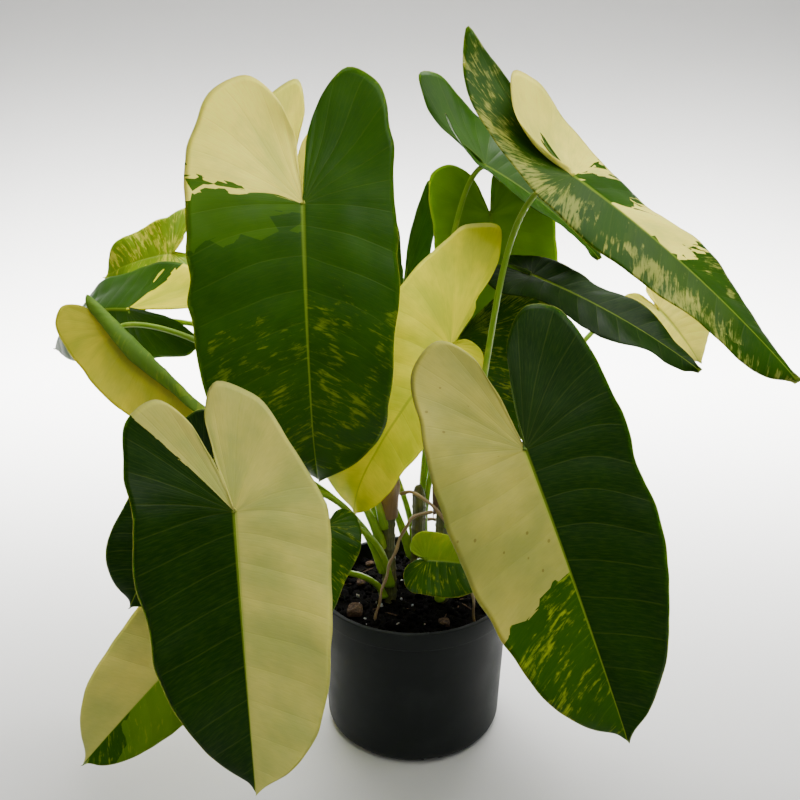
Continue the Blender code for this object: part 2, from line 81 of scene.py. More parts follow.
# ---- room ----
SWEEP_START = 1.05  # where the floor starts to turn up
SWEEP_RADIUS = 0.75
LAMPS = {  # place, what it faces, size, power, colour, and the angle that its light spreads in
    "backdrop": ((0.0, 1.05, 1.50), (0.0, 1.05, 0.0), (2.8, 0.9), 150.0, (1.0, 0.99, 0.97), 80),
    "key": ((0.40, -0.35, 1.30), (0.0, -0.05, 0.25), (1.3, 0.7), 13.0, (1.0, 0.99, 0.96), 150),
    "front": ((-0.6, -1.7, 1.6), (0.0, 0.0, 0.3), (1.8, 1.4), 8.0, (1.0, 0.98, 0.95), 180),
}

# ---- plant ----
STEM_RADIUS = 0.0065
NODE_FIRST = 0.006
NODE_STEP = 0.0100
PETIOLE_RADIUS = 0.0026
SHEATH_HEIGHT = 0.036
SHEATH_SPREAD = 200
ROOT_RADIUS = 0.0014
LEAF_THICKNESS = 0.0009
WAVE_HEIGHT = 0.003  # how far a margin waves up and down
WAVES = 3.0  # on the length of a half's margin
MARGIN_STRAY = ((0.045, 0.021), (0.018, 0.009))  # shares of a half's width, and their sizes
PILLOW = 0.0006  # how far a blade rises between its side veins
SWELLS = 0.0030  # a blade's slow unevenness
DIMPLES = 0.0010
RIB_WIDTH = 0.0019
RIB_DEPTH = 0.0012
GROOVE_DEPTH = 0.0004  # above the rib
VEIN_BOW = 0.14
LOBE_ROWS = 46
SIDE_ROWS = 88
LANES = 26
LANE_POWER = 1.5  # lanes stand closer together beside the midrib
VEINS = 9  # side veins on the length of a half, and half as many again in its lobe

# Half of a blade's outline, from the stalk round the lobe to the tip: the share of the half
# width, and the share of the lobe's length (below zero) or of the blade's length (above zero).
OUTLINE = (
    (0.00, 0.00), (0.05, -0.40), (0.18, -0.80), (0.45, -1.00), (0.76, -0.88), (0.94, -0.45),
    (1.00, 0.04), (0.99, 0.25), (0.93, 0.45), (0.80, 0.64), (0.58, 0.80), (0.28, 0.925),
    (0.06, 0.975), (0.00, 1.00),
)
LOBE_END = 6

# Tissues: linear colour, and how much of it is flecked with the leaf's second colour.
# painted light: a cream brighter than the others, for leaves that face the light
PAINTED_LIGHT_CREAM = (0.96, 0.87, 0.15, 0.0)
CREAM = (0.53, 0.52, 0.120, 0.0)
# painted shade: the cream darkened, for a leaf that stands in shade
PAINTED_SHADE_CREAM = (0.36, 0.35, 0.070, 0.0)
PALE_CREAM = (0.52, 0.50, 0.11, 0.0)
YELLOW = (0.76, 0.74, 0.018, 0.0)
# painted shade: the yellow darkened, for a leaf that stands in shade
PAINTED_SHADE_YELLOW = (0.54, 0.51, 0.035, 0.0)
LIME_SHADED = (0.09, 0.19, 0.004, 0.30)
LIME_FLECKED = (0.17, 0.29, 0.004, 0.45)
FRESH_GREEN = (0.045, 0.125, 0.001, 0.0)
# painted glow: a green brightened to stand in for light shining through a backlit leaf
PAINTED_BACKLIT_GREEN = (0.14, 0.31, 0.001, 0.0)
GREEN = (0.020, 0.075, 0.001, 0.0)
GREEN_FLECKED = (0.018, 0.068, 0.001, 0.36)
GREEN_MARBLED = (0.028, 0.080, 0.002, 0.60)
DEEP = (0.005, 0.026, 0.0005, 0.0)


@dataclass
class Leaf:
    """One leaf: where its stalk joins, where its tip is and which way its upper side faces.

    Pairs are for the halves at the left and right of someone who looks at the upper side with
    the tip pointing down. A half's tissues are pairs: the vein where it ends, and the tissue.
    """

    stem: str
    node: int
    joint: tuple
    tip: tuple
    face: tuple
    half: tuple
    lobe: tuple
    left: tuple
    right: tuple = None  # as the left, where it isn't given
    fleck: tuple = (0.24, 0.32, 0.010)  # the second colour
    ragged: float = 0.16  # how far the borders between tissues stray, in veins
    specks: float = 0.0
    inner: float = 1.0  # how much of the flecking is left beside the midrib
    bloom: float = 0.45  # how much of the underside's own pale tone covers its tissues
    arch: float = 0.006  # how far the midrib bulges to the upper side
    lobe_lift: float = 0.0  # how far the lobe's end bends to the upper side
    lobe_out: tuple = (0, 0)  # how far each lobe leans from the midrib's line, in its lengths
    lobe_fold: tuple = (0, 0)  # each lobe's own rise to the upper side, at its end
    full: tuple = (0, 0)  # how much blunter each half is near the tip
    fold: tuple = (8, 8)  # each half's rise from the midrib to the upper side
    roll: tuple = (0, 0)  # how far each half curls to the upper side
    roll_end: float = 1.0  # what is left of the roll at the tip
    tip_droop: float = 0.0  # how far the tip drops below the arch
    start: float = None  # direction on the stem that the stalk leaves in
    rise: float = 0.35  # length of the stalk's upright start, as a share of its span
    reach: float = 0.25  # length of its approach to the blade, as a share of its span
    under: float = 0.5  # the approach: 0 square to the blade, 1 with its midrib, -1 against it
    lean: float = 0.35  # how far the stalk's start leans out from the stem


LEAVES = {
    "leaf_top": Leaf(
        "stem_left", 6, (-0.072, -0.064, 0.316), (-0.068, -0.074, 0.123), (0.05, -0.97, 0.2),
        (0.073, 0.058), (0.078, 0.084), arch=0.022, lobe_lift=0.01, lobe_out=(0.0, 0.05),
        full=(0.3, 0.6), fold=(4, 4), tip_droop=0.024, under=0.25,
        left=((-0.1, PAINTED_LIGHT_CREAM), (0.1, FRESH_GREEN), (0.4, GREEN), (1.0, GREEN_FLECKED)),
        right=((0.3, GREEN), (1.0, GREEN_FLECKED)), fleck=(0.13, 0.2, 0.006)),
    "leaf_top_rear": Leaf(
        "stem_left", 5, (-0.094, 0.01, 0.308), (-0.11, 0.04, 0.18), (0.1, -0.95, 0.2), (0.04, 0.04),
        (0.085, 0.06), lobe_out=(-0.25, 0.1), under=0.25, left=((1.0, PAINTED_LIGHT_CREAM),)),
    "leaf_front_right": Leaf(
        "stem_right", 2, (0.063, -0.14, 0.18), (0.122, -0.2, 0.021), (0.05, -0.93, 0.36), (0.06, 0.06),
        (0.079, 0.082), lobe_out=(0.0, 0.05), start=-45, reach=0.12,
        left=((0.47, PAINTED_SHADE_CREAM), (1.0, GREEN_FLECKED)), right=((1.0, DEEP),), ragged=0.05, specks=1.0),
    "leaf_front_left": Leaf(
        "stem_left", 2, (-0.105, -0.17, 0.154), (-0.095, -0.21, -0.007), (0.15, -0.95, 0.25),
        (0.056, 0.052), (0.066, 0.075), lobe_out=(0.22, -0.38), full=(-0.5, 0.5), start=-145, rise=0.65,
        under=-0.25, left=((-0.42, CREAM), (1.0, DEEP)), right=((1.0, CREAM),), ragged=0.03),
    "leaf_low_left": Leaf(
        "stem_left", 0, (-0.12, -0.062, 0.042), (-0.235, -0.12, -0.066), (-0.2, -0.75, 0.6),
        (0.05, 0.045), (0.042, 0.042), full=(0.3, 0.0), left=((1.0, PALE_CREAM),),
        right=((-0.1, GREEN_FLECKED), (0.45, GREEN_MARBLED), (0.8, LIME_SHADED), (1.0, GREEN_FLECKED))),
    "leaf_behind_front_left": Leaf(
        "stem_left", 3, (-0.145, -0.073, 0.136), (-0.196, -0.101, 0.049), (-0.3, -0.9, 0.2),
        (0.038, 0.036), (0.04, 0.036), full=(0.5, 0.0), start=-180, under=0.75, left=((1.0, DEEP),)),
    "leaf_left": Leaf(
        "stem_left", 4, (-0.221, 0.01, 0.217), (-0.101, -0.034, 0.11), (-0.2, -0.85, 0.45),
        (0.039, 0.025), (0.044, 0.036), roll=(10, 260), roll_end=0.4, start=216, rise=0.8, reach=0.12,
        left=((1.0, PAINTED_SHADE_YELLOW),), right=((0.45, LIME_SHADED), (1.0, LIME_FLECKED)), bloom=0.35),
    "leaf_far_left": Leaf(
        "stem_back", 1, (-0.221, 0.034, 0.228), (-0.313, 0.112, 0.176), (-0.1, -0.5, 0.85),
        (0.056, 0.04), (0.074, 0.06), arch=0.015, full=(0.6, 0.0), fold=(0, -60), start=150, rise=0.8,
        reach=0.12, under=0.25, left=((-0.1, YELLOW), (1.0, GREEN)), right=((1.0, GREEN),), bloom=0.1),
    "leaf_small_left": Leaf(
        "stem_back", 2, (-0.208, 0.125, 0.258), (-0.273, 0.14, 0.234), (-0.2, -0.75, 0.6),
        (0.031, 0.026), (0.027, 0.023), lobe_out=(0.9, 0.0), start=110, left=((1.0, LIME_FLECKED),),
        fleck=(0.62, 0.6, 0.05)),
    "leaf_centre": Leaf(
        "stem_right", 4, (0.025, -0.022, 0.213), (-0.053, -0.034, 0.084), (-0.35, -0.9, 0.25),
        (0.056, 0.028), (0.09, 0.012), arch=0.022, lobe_out=(0.08, 0.0), full=(0.2, 0.6), fold=(8, -20),
        tip_droop=0.02, start=-65, rise=0.65, reach=0.12, lean=0.7, left=((1.0, YELLOW),),
        right=((0.02, YELLOW), (0.14, LIME_FLECKED), (1.0, YELLOW))),
    "leaf_behind_centre": Leaf(
        "stem_right", 3, (0.034, 0.035, 0.205), (0.042, -0.005, 0.109), (0.2, -0.9, 0.4),
        (0.042, 0.068), (0.051, 0.043), lobe_out=(0.0, 0.9), reach=0.12,
        left=((0.1, GREEN_FLECKED), (1.0, GREEN_MARBLED)), right=((1.0, GREEN_FLECKED),)),
    "leaf_upper_right": Leaf(
        "stem_right", 6, (0.098, -0.06, 0.333), (0.224, -0.13, 0.219), (0.45, -0.6, 0.66),
        (0.033, 0.048), (0.116, 0.072), lobe_lift=0.035, lobe_out=(-0.2, -0.25), lobe_fold=(-12, 12),
        full=(0.5, -0.9), fold=(-15, -10), rise=0.5,
        left=((-0.3, GREEN_FLECKED), (0.12, GREEN_MARBLED), (0.3, GREEN_FLECKED), (0.72, GREEN_MARBLED),
              (1.0, GREEN_FLECKED)),
        right=((-0.02, PAINTED_LIGHT_CREAM), (0.2, GREEN), (0.45, PAINTED_LIGHT_CREAM), (1.0, GREEN_FLECKED)),
        fleck=(0.3, 0.33, 0.055), inner=0.35),
    "leaf_behind_upper_right": Leaf(
        "stem_back", 5, (0.053, 0.05, 0.334), (0.139, 0.03, 0.267), (0.45, -0.6, 0.66), (0.03, 0.045),
        (0.045, 0.085), lobe_lift=0.02, lobe_out=(-0.2, 0.15), lobe_fold=(40, 0), fold=(25, 5),
        start=75, rise=0.2, reach=0.12, left=((1.0, GREEN),), bloom=0.05),
    "leaf_right": Leaf(
        "stem_right", 5, (0.089, 0.03, 0.255), (0.206, -0.02, 0.194), (-0.05, -0.4, 0.9),
        (0.036, 0.022), (0.032, 0.03), rise=0.5, reach=0.55, under=0.75, lean=0.7, left=((1.0, DEEP),)),
    "leaf_back_right": Leaf(
        "stem_back", 4, (0.061, 0.078, 0.295), (0.075, 0.094, 0.152), (0.1, -0.95, 0.2), (0.048, 0.053),
        (0.042, 0.05), lobe_out=(0.2, 0.0), start=10, rise=0.2, under=0.0, lean=0.1,
        left=((1.0, PAINTED_BACKLIT_GREEN),)),
    "leaf_back": Leaf(
        "stem_back", 3, (-0.009, 0.09, 0.231), (-0.018, 0.105, 0.137), (0.3, -0.9, 0.3), (0.035, 0.02),
        (0.07, 0.088), lobe_out=(0.0, 0.12), start=70, rise=0.65, lean=0.7,
        left=((0.1, GREEN), (0.6, YELLOW), (1.0, GREEN)), right=((1.0, GREEN),)),
    "leaf_low_centre": Leaf(
        "stem_left", 1, (-0.063, -0.07, 0.095), (-0.092, -0.1, 0.015), (0.2, -0.9, 0.3), (0.035, 0.026),
        (0.012, 0.016), start=-80, rise=0.5, under=0.25, lean=0.1, left=((1.0, GREEN),),
        right=((1.0, GREEN_FLECKED),)),
    "leaf_small_low": Leaf(
        "stem_right", 0, (0.009, -0.055, 0.061), (0.058, -0.06, 0.054), (0.0, -0.7, 0.7), (0.028, 0.02),
        (0.014, 0.014), reach=0.4, left=((1.0, GREEN_FLECKED),), right=((1.0, LIME_FLECKED),)),
    "leaf_right_rear": Leaf(
        "stem_right", 1, (0.197, 0.06, 0.222), (0.23, 0.05, 0.181), (-0.1, -0.9, 0.4), (0.028, 0.026),
        (0.025, 0.025), left=((1.0, PAINTED_LIGHT_CREAM),)),
}

STEMS = {"stem_left": (-0.020, -0.006), "stem_right": (0.022, -0.008), "stem_back": (0.004, 0.026)}
SHEATHS = {"sheath_left": ("stem_left", -60), "sheath_right": ("stem_right", 100)}

# Aerial roots: points from the stem's side to the mix.
ROOTS = {
    "root_front": (
        (-0.012, -0.013, 0.094), (-0.003, -0.020, 0.099), (0.021, -0.035, 0.085),
        (0.040, -0.046, 0.045), (0.046, -0.048, 0.0035)),
    "root_left": (
        (0.0145, -0.014, 0.080), (-0.002, -0.022, 0.078), (-0.011, -0.026, 0.062),
        (-0.024, -0.038, 0.028), (-0.030, -0.045, 0.0035)),
    "root_rear": (
        (0.011, 0.034, 0.050), (0.022, 0.041, 0.046), (0.036, 0.047, 0.024), (0.042, 0.050, 0.0035)),
}


# ---- arrays ----


def unit(vectors):
    vectors = np.asarray(vectors, float)
    return vectors / np.linalg.norm(vectors, axis=-1, keepdims=True)


def grid_of(*parts):
    """Coordinates, as arrays or numbers that broadcast together, on one grid."""
    return np.stack(np.broadcast_arrays(*parts), -1)


def distance_along(points):
    """Each point's distance along their line, from zero."""
    return np.concatenate([[0.0], np.cumsum(np.linalg.norm(np.diff(points, axis=0), axis=1))])


def place(point):
    """A plant point, given from the mix's surface, in the part's frame."""
    return np.array(point) + np.array([0.0, 0.0, MIX_TOP])


def smooth_line(points, share):
    """Points on a smooth line through the given ones: Hermite spans with averaged slopes."""
    points = np.asarray(points, float)
    step = np.linalg.norm(np.diff(points, axis=0), axis=1)
    at = np.concatenate([[0.0], np.cumsum(step)]) / step.sum()
    slope = np.gradient(points, at, axis=0)
    cell = np.clip(np.searchsorted(at, share, "right") - 1, 0, len(step) - 1)
    span = (at[cell + 1] - at[cell])[:, None]
    f = (share - at[cell])[:, None] / span
    return (
        (1 + 2 * f) * (1 - f) ** 2 * points[cell]
        + f * (1 - f) ** 2 * span * slope[cell]
        + f**2 * (3 - 2 * f) * points[cell + 1]
        + f**2 * (f - 1) * span * slope[cell + 1]
    )


def share_at(points, index):
    """How far along a line its point of that index lies, as a share."""
    step = np.linalg.norm(np.diff(np.asarray(points, float), axis=0), axis=1)
    return step[:index].sum() / step.sum()


def rough(points, size, seed):
    """Smooth noise from -1 to 1: random values at the corners of cells, blended between them."""
    at = np.asarray(points, float) / size
    cell = np.floor(at).astype(np.int64)
    f = at - cell
    f = f * f * (3 - 2 * f)
    total = np.zeros(at.shape[:-1])
    for corner in range(8):
        step = np.array([corner & 1, corner >> 1 & 1, corner >> 2 & 1])
        x, y, z = np.moveaxis(cell + step, -1, 0)
        mixed = (x * 73856093) ^ (y * 19349663) ^ (z * 83492791) ^ (seed * 2654435761)
        mixed = (mixed ^ (mixed >> 13)) * 1274126177
        value = ((mixed ^ (mixed >> 16)) & 65535) / 32767.5 - 1
        total += value * np.prod(np.where(step, f, 1 - f), axis=-1)
    return total


def grid_quads(rows, columns, first=0):
    """The faces of a grid of points, row by row, as an array of four indices each."""
    corner = first + np.arange(rows - 1)[:, None] * columns + np.arange(columns - 1)
    return np.stack([corner, corner + 1, corner + columns + 1, corner + columns], -1).reshape(-1, 4)


def turns(angles, plane):
    """Rotation matrices by the given angles, in the plane of two axes."""
    first, second = plane
    matrices = np.tile(np.eye(3), (len(angles), 1, 1))
    matrices[:, first, first] = matrices[:, second, second] = np.cos(angles)
    matrices[:, second, first] = np.sin(angles)
    matrices[:, first, second] = -np.sin(angles)
    return matrices


def welded(points):
    """The first of each set of points within a micrometre of one another, and each point's set."""
    _, first, same = np.unique(np.round(points, 6), axis=0, return_index=True, return_inverse=True)
    return first, same.reshape(-1)


def point_normals(points, quads):
    """Area-weighted normals of the welded sheet, one for each point."""
    first, same = welded(points)
    corner = points[quads]
    facing = np.cross(corner[:, 2] - corner[:, 0], corner[:, 3] - corner[:, 1])
    total = np.zeros((len(first), 3))
    for place_in_face in range(4):
        np.add.at(total, same[quads[:, place_in_face]], facing)
    return unit(total + 1e-15)[same]


# ---- meshes ----


def new_piece(name, points, quads, maps, materials, slots=None):
    """A riding mesh of welded quads; a quad with two corners in one place becomes a triangle.

    maps holds, by name, an array of (faces, 4, 2) for a UV map.
    """
    first, same = welded(points)
    corner = same[quads]
    keep = corner != np.roll(corner, -1, axis=1)
    whole = keep.sum(1) >= 3
    corner, keep = corner[whole], keep[whole]
    count = keep.sum(1)
    mesh = bpy.data.meshes.new(name)
    mesh.vertices.add(len(first))
    mesh.vertices.foreach_set("co", points[first].astype(np.float32).ravel())
    mesh.loops.add(int(count.sum()))
    mesh.loops.foreach_set("vertex_index", corner[keep].astype(np.int32))
    mesh.polygons.add(len(count))
    mesh.polygons.foreach_set("loop_start", np.concatenate([[0], np.cumsum(count)[:-1]]).astype(np.int32))
    mesh.polygons.foreach_set("use_smooth", np.ones(len(count), bool))
    if slots is not None:
        mesh.polygons.foreach_set("material_index", slots[whole].astype(np.int32))
    mesh.update(calc_edges=True)
    for map_name, values in maps.items():
        layer = mesh.uv_layers.new(name=map_name)
        layer.data.foreach_set("uv", values[whole][keep].astype(np.float32).ravel())
    for material in materials:
        mesh.materials.append(material)
    piece = bpy.data.objects.new(name, mesh)
    bpy.context.scene.collection.objects.link(piece)
    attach(piece, "root")
    return piece


def corner_values(grid, quads):
    """A grid's values at the corners of its faces."""
    return grid.reshape(-1, grid.shape[-1])[quads]


def swept_tube(name, path, radii, side, sides, materials, bumps=None):
    """A round rod: a ring of each radius square to the path, with both ends drawn to a point.

    side is a direction that the path never takes; bumps(angle, length) adds to the radius.
    """
    along = unit(np.gradient(path, axis=0))
    across = unit(side - (along @ side)[:, None] * along)
    third = np.cross(along, across)
    angle = np.linspace(0, 2 * math.pi, sides + 1)
    length = distance_along(path)
    radius = np.broadcast_to(np.asarray(radii, float)[:, None], (len(path), sides + 1)).copy()
    if bumps is not None:
        radius += bumps(angle[None, :], length[:, None])
    radius[:, -1] = radius[:, 0]
    radius[[0, -1]] = 0.0
    ring = np.cos(angle)[None, :, None] * across[:, None] + np.sin(angle)[None, :, None] * third[:, None]
    points = path[:, None] + radius[..., None] * ring
    quads = grid_quads(len(path), sides + 1)
    flat = grid_of(angle / (2 * math.pi), length[:, None])
    return new_piece(name, points.reshape(-1, 3), quads, {"round": corner_values(flat, quads)}, materials)


def turned(name, profile, sides, materials, lift=None):
    """A profile of (radius, height) turned about the pot's axis, from its top down its outside."""
    profile = np.asarray(profile, float)
    angle = np.linspace(0, 2 * math.pi, sides + 1)
    radius, height = profile[:, :1], profile[:, 1:]
    points = grid_of(radius * np.cos(angle), radius * np.sin(angle), height)
    points[:, -1] = points[:, 0]
    if lift is not None:
        points = lift(points)
    quads = grid_quads(len(profile), sides + 1)[:, ::-1]
    flat = grid_of(angle / (2 * math.pi), distance_along(profile)[:, None])
    return new_piece(name, points.reshape(-1, 3), quads, {"round": corner_values(flat, quads)}, materials)


# ---- blades ----


def leaf_axes(leaf):
    """The blade's joint, length, and its directions: to the tip, across, and to the upper side."""
    joint = place(leaf.joint)
    chord = place(leaf.tip) - joint
    length = np.linalg.norm(chord)
    along = chord / length
    face = np.asarray(leaf.face, float)
    up = unit(face - along * (face @ along))
    return joint, length, along, np.cross(up, along), up


def bend(leaf, side, x, y, lane, share, length, width, lobe):
    """A flat half blade's points, x out from the midrib and y to the tip, in their true places.

    The midrib arches as 4 q (1 - q), the section curls on a circle of the roll's radius and
    tilts by the fold, and the margin ripples as a sine that grows with the lane's square.
    """
    pair = 0 if side < 0 else 1
    joint, _, along, across, up = leaf_axes(leaf)
    q = y / length
    body = np.clip(q, 0, None)
    back = np.clip(-y / lobe, 0, None)
    lift = leaf.arch * 4 * body * (1 - body) - leaf.arch * 4 * back * lobe / length
    lift = lift + leaf.lobe_lift * back**2
    lift = lift - leaf.tip_droop * np.clip((q - 0.65) / 0.35, 0, None) ** 2
    slope = leaf.arch * 4 * (1 - 2 * body) / length
    x = x + leaf.lobe_out[pair] * back * lobe
    fold = np.radians(leaf.fold[pair]) + np.radians(leaf.lobe_fold[pair]) * np.clip(back, 0, 1)
    roll = np.radians(leaf.roll[pair]) * (1 - (1 - leaf.roll_end) * np.clip(q, 0, 1)) + 1e-4
    bow = width / roll
    flat = bow * np.sin(x / bow)
    high = bow * (1 - np.cos(x / bow))
    out = side * (flat * np.cos(fold) - high * np.sin(fold))
    rise = flat * np.sin(fold) + high * np.cos(fold)
    rise = rise + WAVE_HEIGHT * lane**2 * np.sin(2 * math.pi * WAVES * share + side)
    normal_up = 1 / np.sqrt(1 + slope**2)
    forward = (y - rise * slope * normal_up)[..., None]
    return joint + forward * along + out[..., None] * across + (lift + rise * normal_up)[..., None] * up


def half_blade(leaf, side, seed):
    """One half's points, and each point's vein, lane, distances along, out and to the margin, side,
    and the gap between side veins there.

    The margin's distance from the midrib strays by a few hundredths, as smooth noise along it.
    """
    length = leaf_axes(leaf)[1]
    pair = 0 if side < 0 else 1
    width, lobe, blunt = leaf.half[pair], leaf.lobe[pair], leaf.full[pair]
    edge_points = [
        (width * (x + blunt * x * (1 - x) * (y > 0)), y * (length if y > 0 else lobe)) for x, y in OUTLINE
    ]
    lobe_share = share_at(edge_points, LOBE_END)
    lobe_steps = np.linspace(0.02, 1.0, LOBE_ROWS + 1)[:-1]
    side_steps = np.linspace(0.0, 1.0, SIDE_ROWS + 1)
    share = np.concatenate([lobe_share * lobe_steps, lobe_share + (1 - lobe_share) * side_steps])
    vein = np.concatenate([lobe_steps - 1, side_steps])
    edge = smooth_line(edge_points, share)
    stray = np.stack([share * (lobe + length), 0 * share, 0 * share + 0.07 * side], -1)
    wider = 1.0
    for index, (depth, size) in enumerate(MARGIN_STRAY):
        wider = wider + depth * rough(stray, size, seed + 3 * index)
    edge[:, 0] *= wider
    root = length * np.concatenate([0 * lobe_steps, side_steps**1.2])
    lane = np.linspace(0.0, 1.0, LANES + 1)[None, :] ** LANE_POWER
    reach = np.hypot(edge[:, 0], edge[:, 1] - root)[:, None]
    x = edge[:, :1] * lane
    y = root[:, None] + (edge[:, 1] - root)[:, None] * lane - VEIN_BOW * reach * lane * (1 - lane)
    points = bend(leaf, side, x, y, lane, share[:, None], length, width, lobe)
    along = distance_along(edge)
    along -= along[LOBE_ROWS]
    spacing = np.gradient(along, vein)[:, None] * lane + np.gradient(root, vein)[:, None] * (1 - lane)
    return points, grid_of(
        vein[:, None], side * lane, along[:, None], reach * lane, reach * (1 - lane), float(side),
        spacing / VEINS)


def relief(vein, lane, out, phase, points, seed):
    """How far the blade's face stands up: pillows between sunk side veins, and slow unevenness."""
    lane = np.abs(lane)
    pillow = np.abs(np.sin(math.pi * phase)) ** 0.7
    near = np.clip(out / 0.012, 0, 1) * np.where(vein < 0, lane, 1.0)
    height = PILLOW * (pillow - 0.6) * near * (1 - 0.55 * lane**3)
    height += SWELLS * rough(points, 0.042, seed + 1) * np.clip(out / 0.03, 0, 1)
    height += DIMPLES * rough(points, 0.016, seed + 2) * lane
    return height


def build_blade(name, leaf, seed):
    """The whole blade as two skins that meet at the margin, with a rib under its midrib."""
    halves = [half_blade(leaf, side, seed) for side in (-1, 1)]
    rows, columns = halves[0][0].shape[:2]
    each = rows * columns
    quads = np.concatenate([grid_quads(rows, columns), grid_quads(rows, columns, each)[:, ::-1]])
    points = np.concatenate([half[0].reshape(-1, 3) for half in halves])
    values = np.concatenate([half[1].reshape(each, -1) for half in halves])
    vein, lane, along, out, edge, side, spacing = values.T
    phase = VEINS * (vein + 0.03 * rough(points, 0.05, seed))
    normal = point_normals(points, quads)
    body = np.tile(np.r_[np.ones(rows - 1), 0.0][:, None], (2, columns)).ravel()
    points = points + (relief(vein, lane, out, phase, points, seed) * body)[:, None] * normal
    normal = point_normals(points, quads)
    ends = np.tile(np.r_[0.0, np.ones(rows - 2), 0.0][:, None], (2, columns)).ravel()
    skin = 0.5 * LEAF_THICKNESS * (1 - np.abs(lane) ** 14) * ends
    slim = np.clip(1 - 0.75 * np.clip(vein, 0, 1), 0, 1)
    rib = ends * slim * RIB_DEPTH * np.exp(-((out / (RIB_WIDTH * slim + 0.0004)) ** 2))
    groove = ends * slim * GROOVE_DEPTH * np.exp(-((out / 0.0013) ** 2))
    top = points + (skin - groove)[:, None] * normal
    under = points - (skin + rib)[:, None] * normal
    both = np.concatenate([quads, quads[:, ::-1] + len(points)])
    maps = {
        "veins": np.stack([vein, lane], -1), "metres": np.stack([along, out], -1),
        "edges": np.stack([edge, side], -1), "ribs": np.stack([phase, spacing], -1),
    }
    corners = {label: np.concatenate([grid[quads], grid[quads][:, ::-1]]) for label, grid in maps.items()}
    slots = np.repeat([0, 1], len(quads))
    materials = [leaf_material(name, leaf, seed, False), leaf_material(name + "_under", leaf, seed, True)]
    blade = new_piece(name + "_blade", np.concatenate([top, under]), both, corners, materials, slots)
    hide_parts(name)


def petiole_path(leaf, count):
    """The stalk's centre line: a cubic curve from its node on the stem to the blade's back."""
    joint, _, along, _, up = leaf_axes(leaf)
    stem = np.array([*STEMS[leaf.stem], 0.0])
    to_joint = np.array(leaf.joint) - stem
    heading = math.radians(leaf.start) if leaf.start is not None else math.atan2(to_joint[1], to_joint[0])
    out = np.array([math.cos(heading), math.sin(heading), 0.0])
    foot = stem + out * STEM_RADIUS * 0.55
    foot[2] = MIX_TOP + NODE_FIRST + NODE_STEP * leaf.node - 0.004
    end = joint - up * 0.0006
    span = np.linalg.norm(end - foot)
    leave = unit(out * leaf.lean + np.array([0, 0, 1.0]))
    arrive = unit(up * (1 - abs(leaf.under)) + along * leaf.under)
    a, b = foot + leave * span * leaf.rise, end - arrive * span * leaf.reach
    t = np.linspace(0, 1, count)[:, None]
    line = (1 - t) ** 3 * foot + 3 * t * (1 - t) ** 2 * a + 3 * t**2 * (1 - t) * b + t**3 * end
    return line, out


def build_petiole(name, leaf, material):
    """A stalk that widens to a clasping foot and narrows a little to the blade."""
    path, out = petiole_path(leaf, 90)
    share = np.linspace(0, 1, len(path))
    radii = PETIOLE_RADIUS * (1.0 + 0.75 * np.exp(-((share / 0.055) ** 2)) - 0.22 * share)
    radii = radii * np.clip((1 - share) / 0.012, 0.05, 1) ** 0.4
    side = np.array([-out[1], out[0], 0.0])

    def bumps(angle, length):
        return -0.00012 * (1 + np.cos(9 * angle)) * np.clip(length / 0.02, 0, 1)

    node = name.replace("leaf", "petiole")
    stalk = swept_tube(node + "_stalk", path, radii, side, 20, [material], bumps)
    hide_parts(node)


# ---- shader nodes ----


def put(tree, kind, values=None, **settings):
    """A node with its settings; values gives inputs, by name or index, a constant or a link."""
    node = tree.nodes.new(kind)
    for key, value in settings.items():
        setattr(node, key, value)
    for key, value in (values or {}).items():
        if isinstance(value, bpy.types.NodeSocket):
            tree.links.new(value, node.inputs[key])
        else:
            node.inputs[key].default_value = value
    return node


def tone(colour):
    """A constant colour with its alpha; a link stays as it is."""
    return (*colour[:3], 1.0) if isinstance(colour, tuple) else colour


def calc(operation, a, b=0.0, c=0.0):
    """A Math node after the link a, beside it in its tree."""
    return put(a.id_data, "ShaderNodeMath", {0: a, 1: b, 2: c}, operation=operation).outputs[0]


def times(a, b):
    return calc("MULTIPLY", a, b)


def plus(a, b):
    return calc("ADD", a, b)


def ease(value, low, high, to_low=0.0, to_high=1.0):
    """A smooth step from one value to another as the input goes from low to high."""
    inputs = {"Value": value, "From Min": low, "From Max": high, "To Min": to_low, "To Max": to_high}
    return put(value.id_data, "ShaderNodeMapRange", inputs, interpolation_type="SMOOTHSTEP").outputs[0]


def mix(factor, a, b, mode="MIX"):
    """Two colours blended, of which one or the factor is a link."""
    tree = next(value for value in (factor, a, b) if isinstance(value, bpy.types.NodeSocket)).id_data
    inputs = {0: factor, 6: tone(a), 7: tone(b)}
    return put(tree, "ShaderNodeMix", inputs, data_type="RGBA", blend_type=mode).outputs[2]


def stretched(a, a_scale, b, b_scale, c=0.0):
    """A texture's place, from two lengths that each have their own scale."""
    parts = {0: times(a, a_scale), 1: times(b, b_scale), 2: c}
    return put(a.id_data, "ShaderNodeCombineXYZ", parts).outputs[0]


def noise(at, scale=1.0, detail=2.0, roughness=0.5, distortion=0.0):
    """Smooth noise from 0 to 1, mostly near a half."""
    inputs = {
        "Vector": at, "Scale": scale, "Detail": detail, "Roughness": roughness, "Distortion": distortion}
    return put(at.id_data, "ShaderNodeTexNoise", inputs).outputs[0]


def split(at):
    parts = put(at.id_data, "ShaderNodeSeparateXYZ", {0: at}).outputs
    return parts[0], parts[1]


def uv_map(tree, name):
    return split(put(tree, "ShaderNodeUVMap", uv_map=name).outputs[0])


def object_place(tree):
    """A point in the part's frame, in metres."""
    return put(tree, "ShaderNodeTexCoord").outputs["Object"]


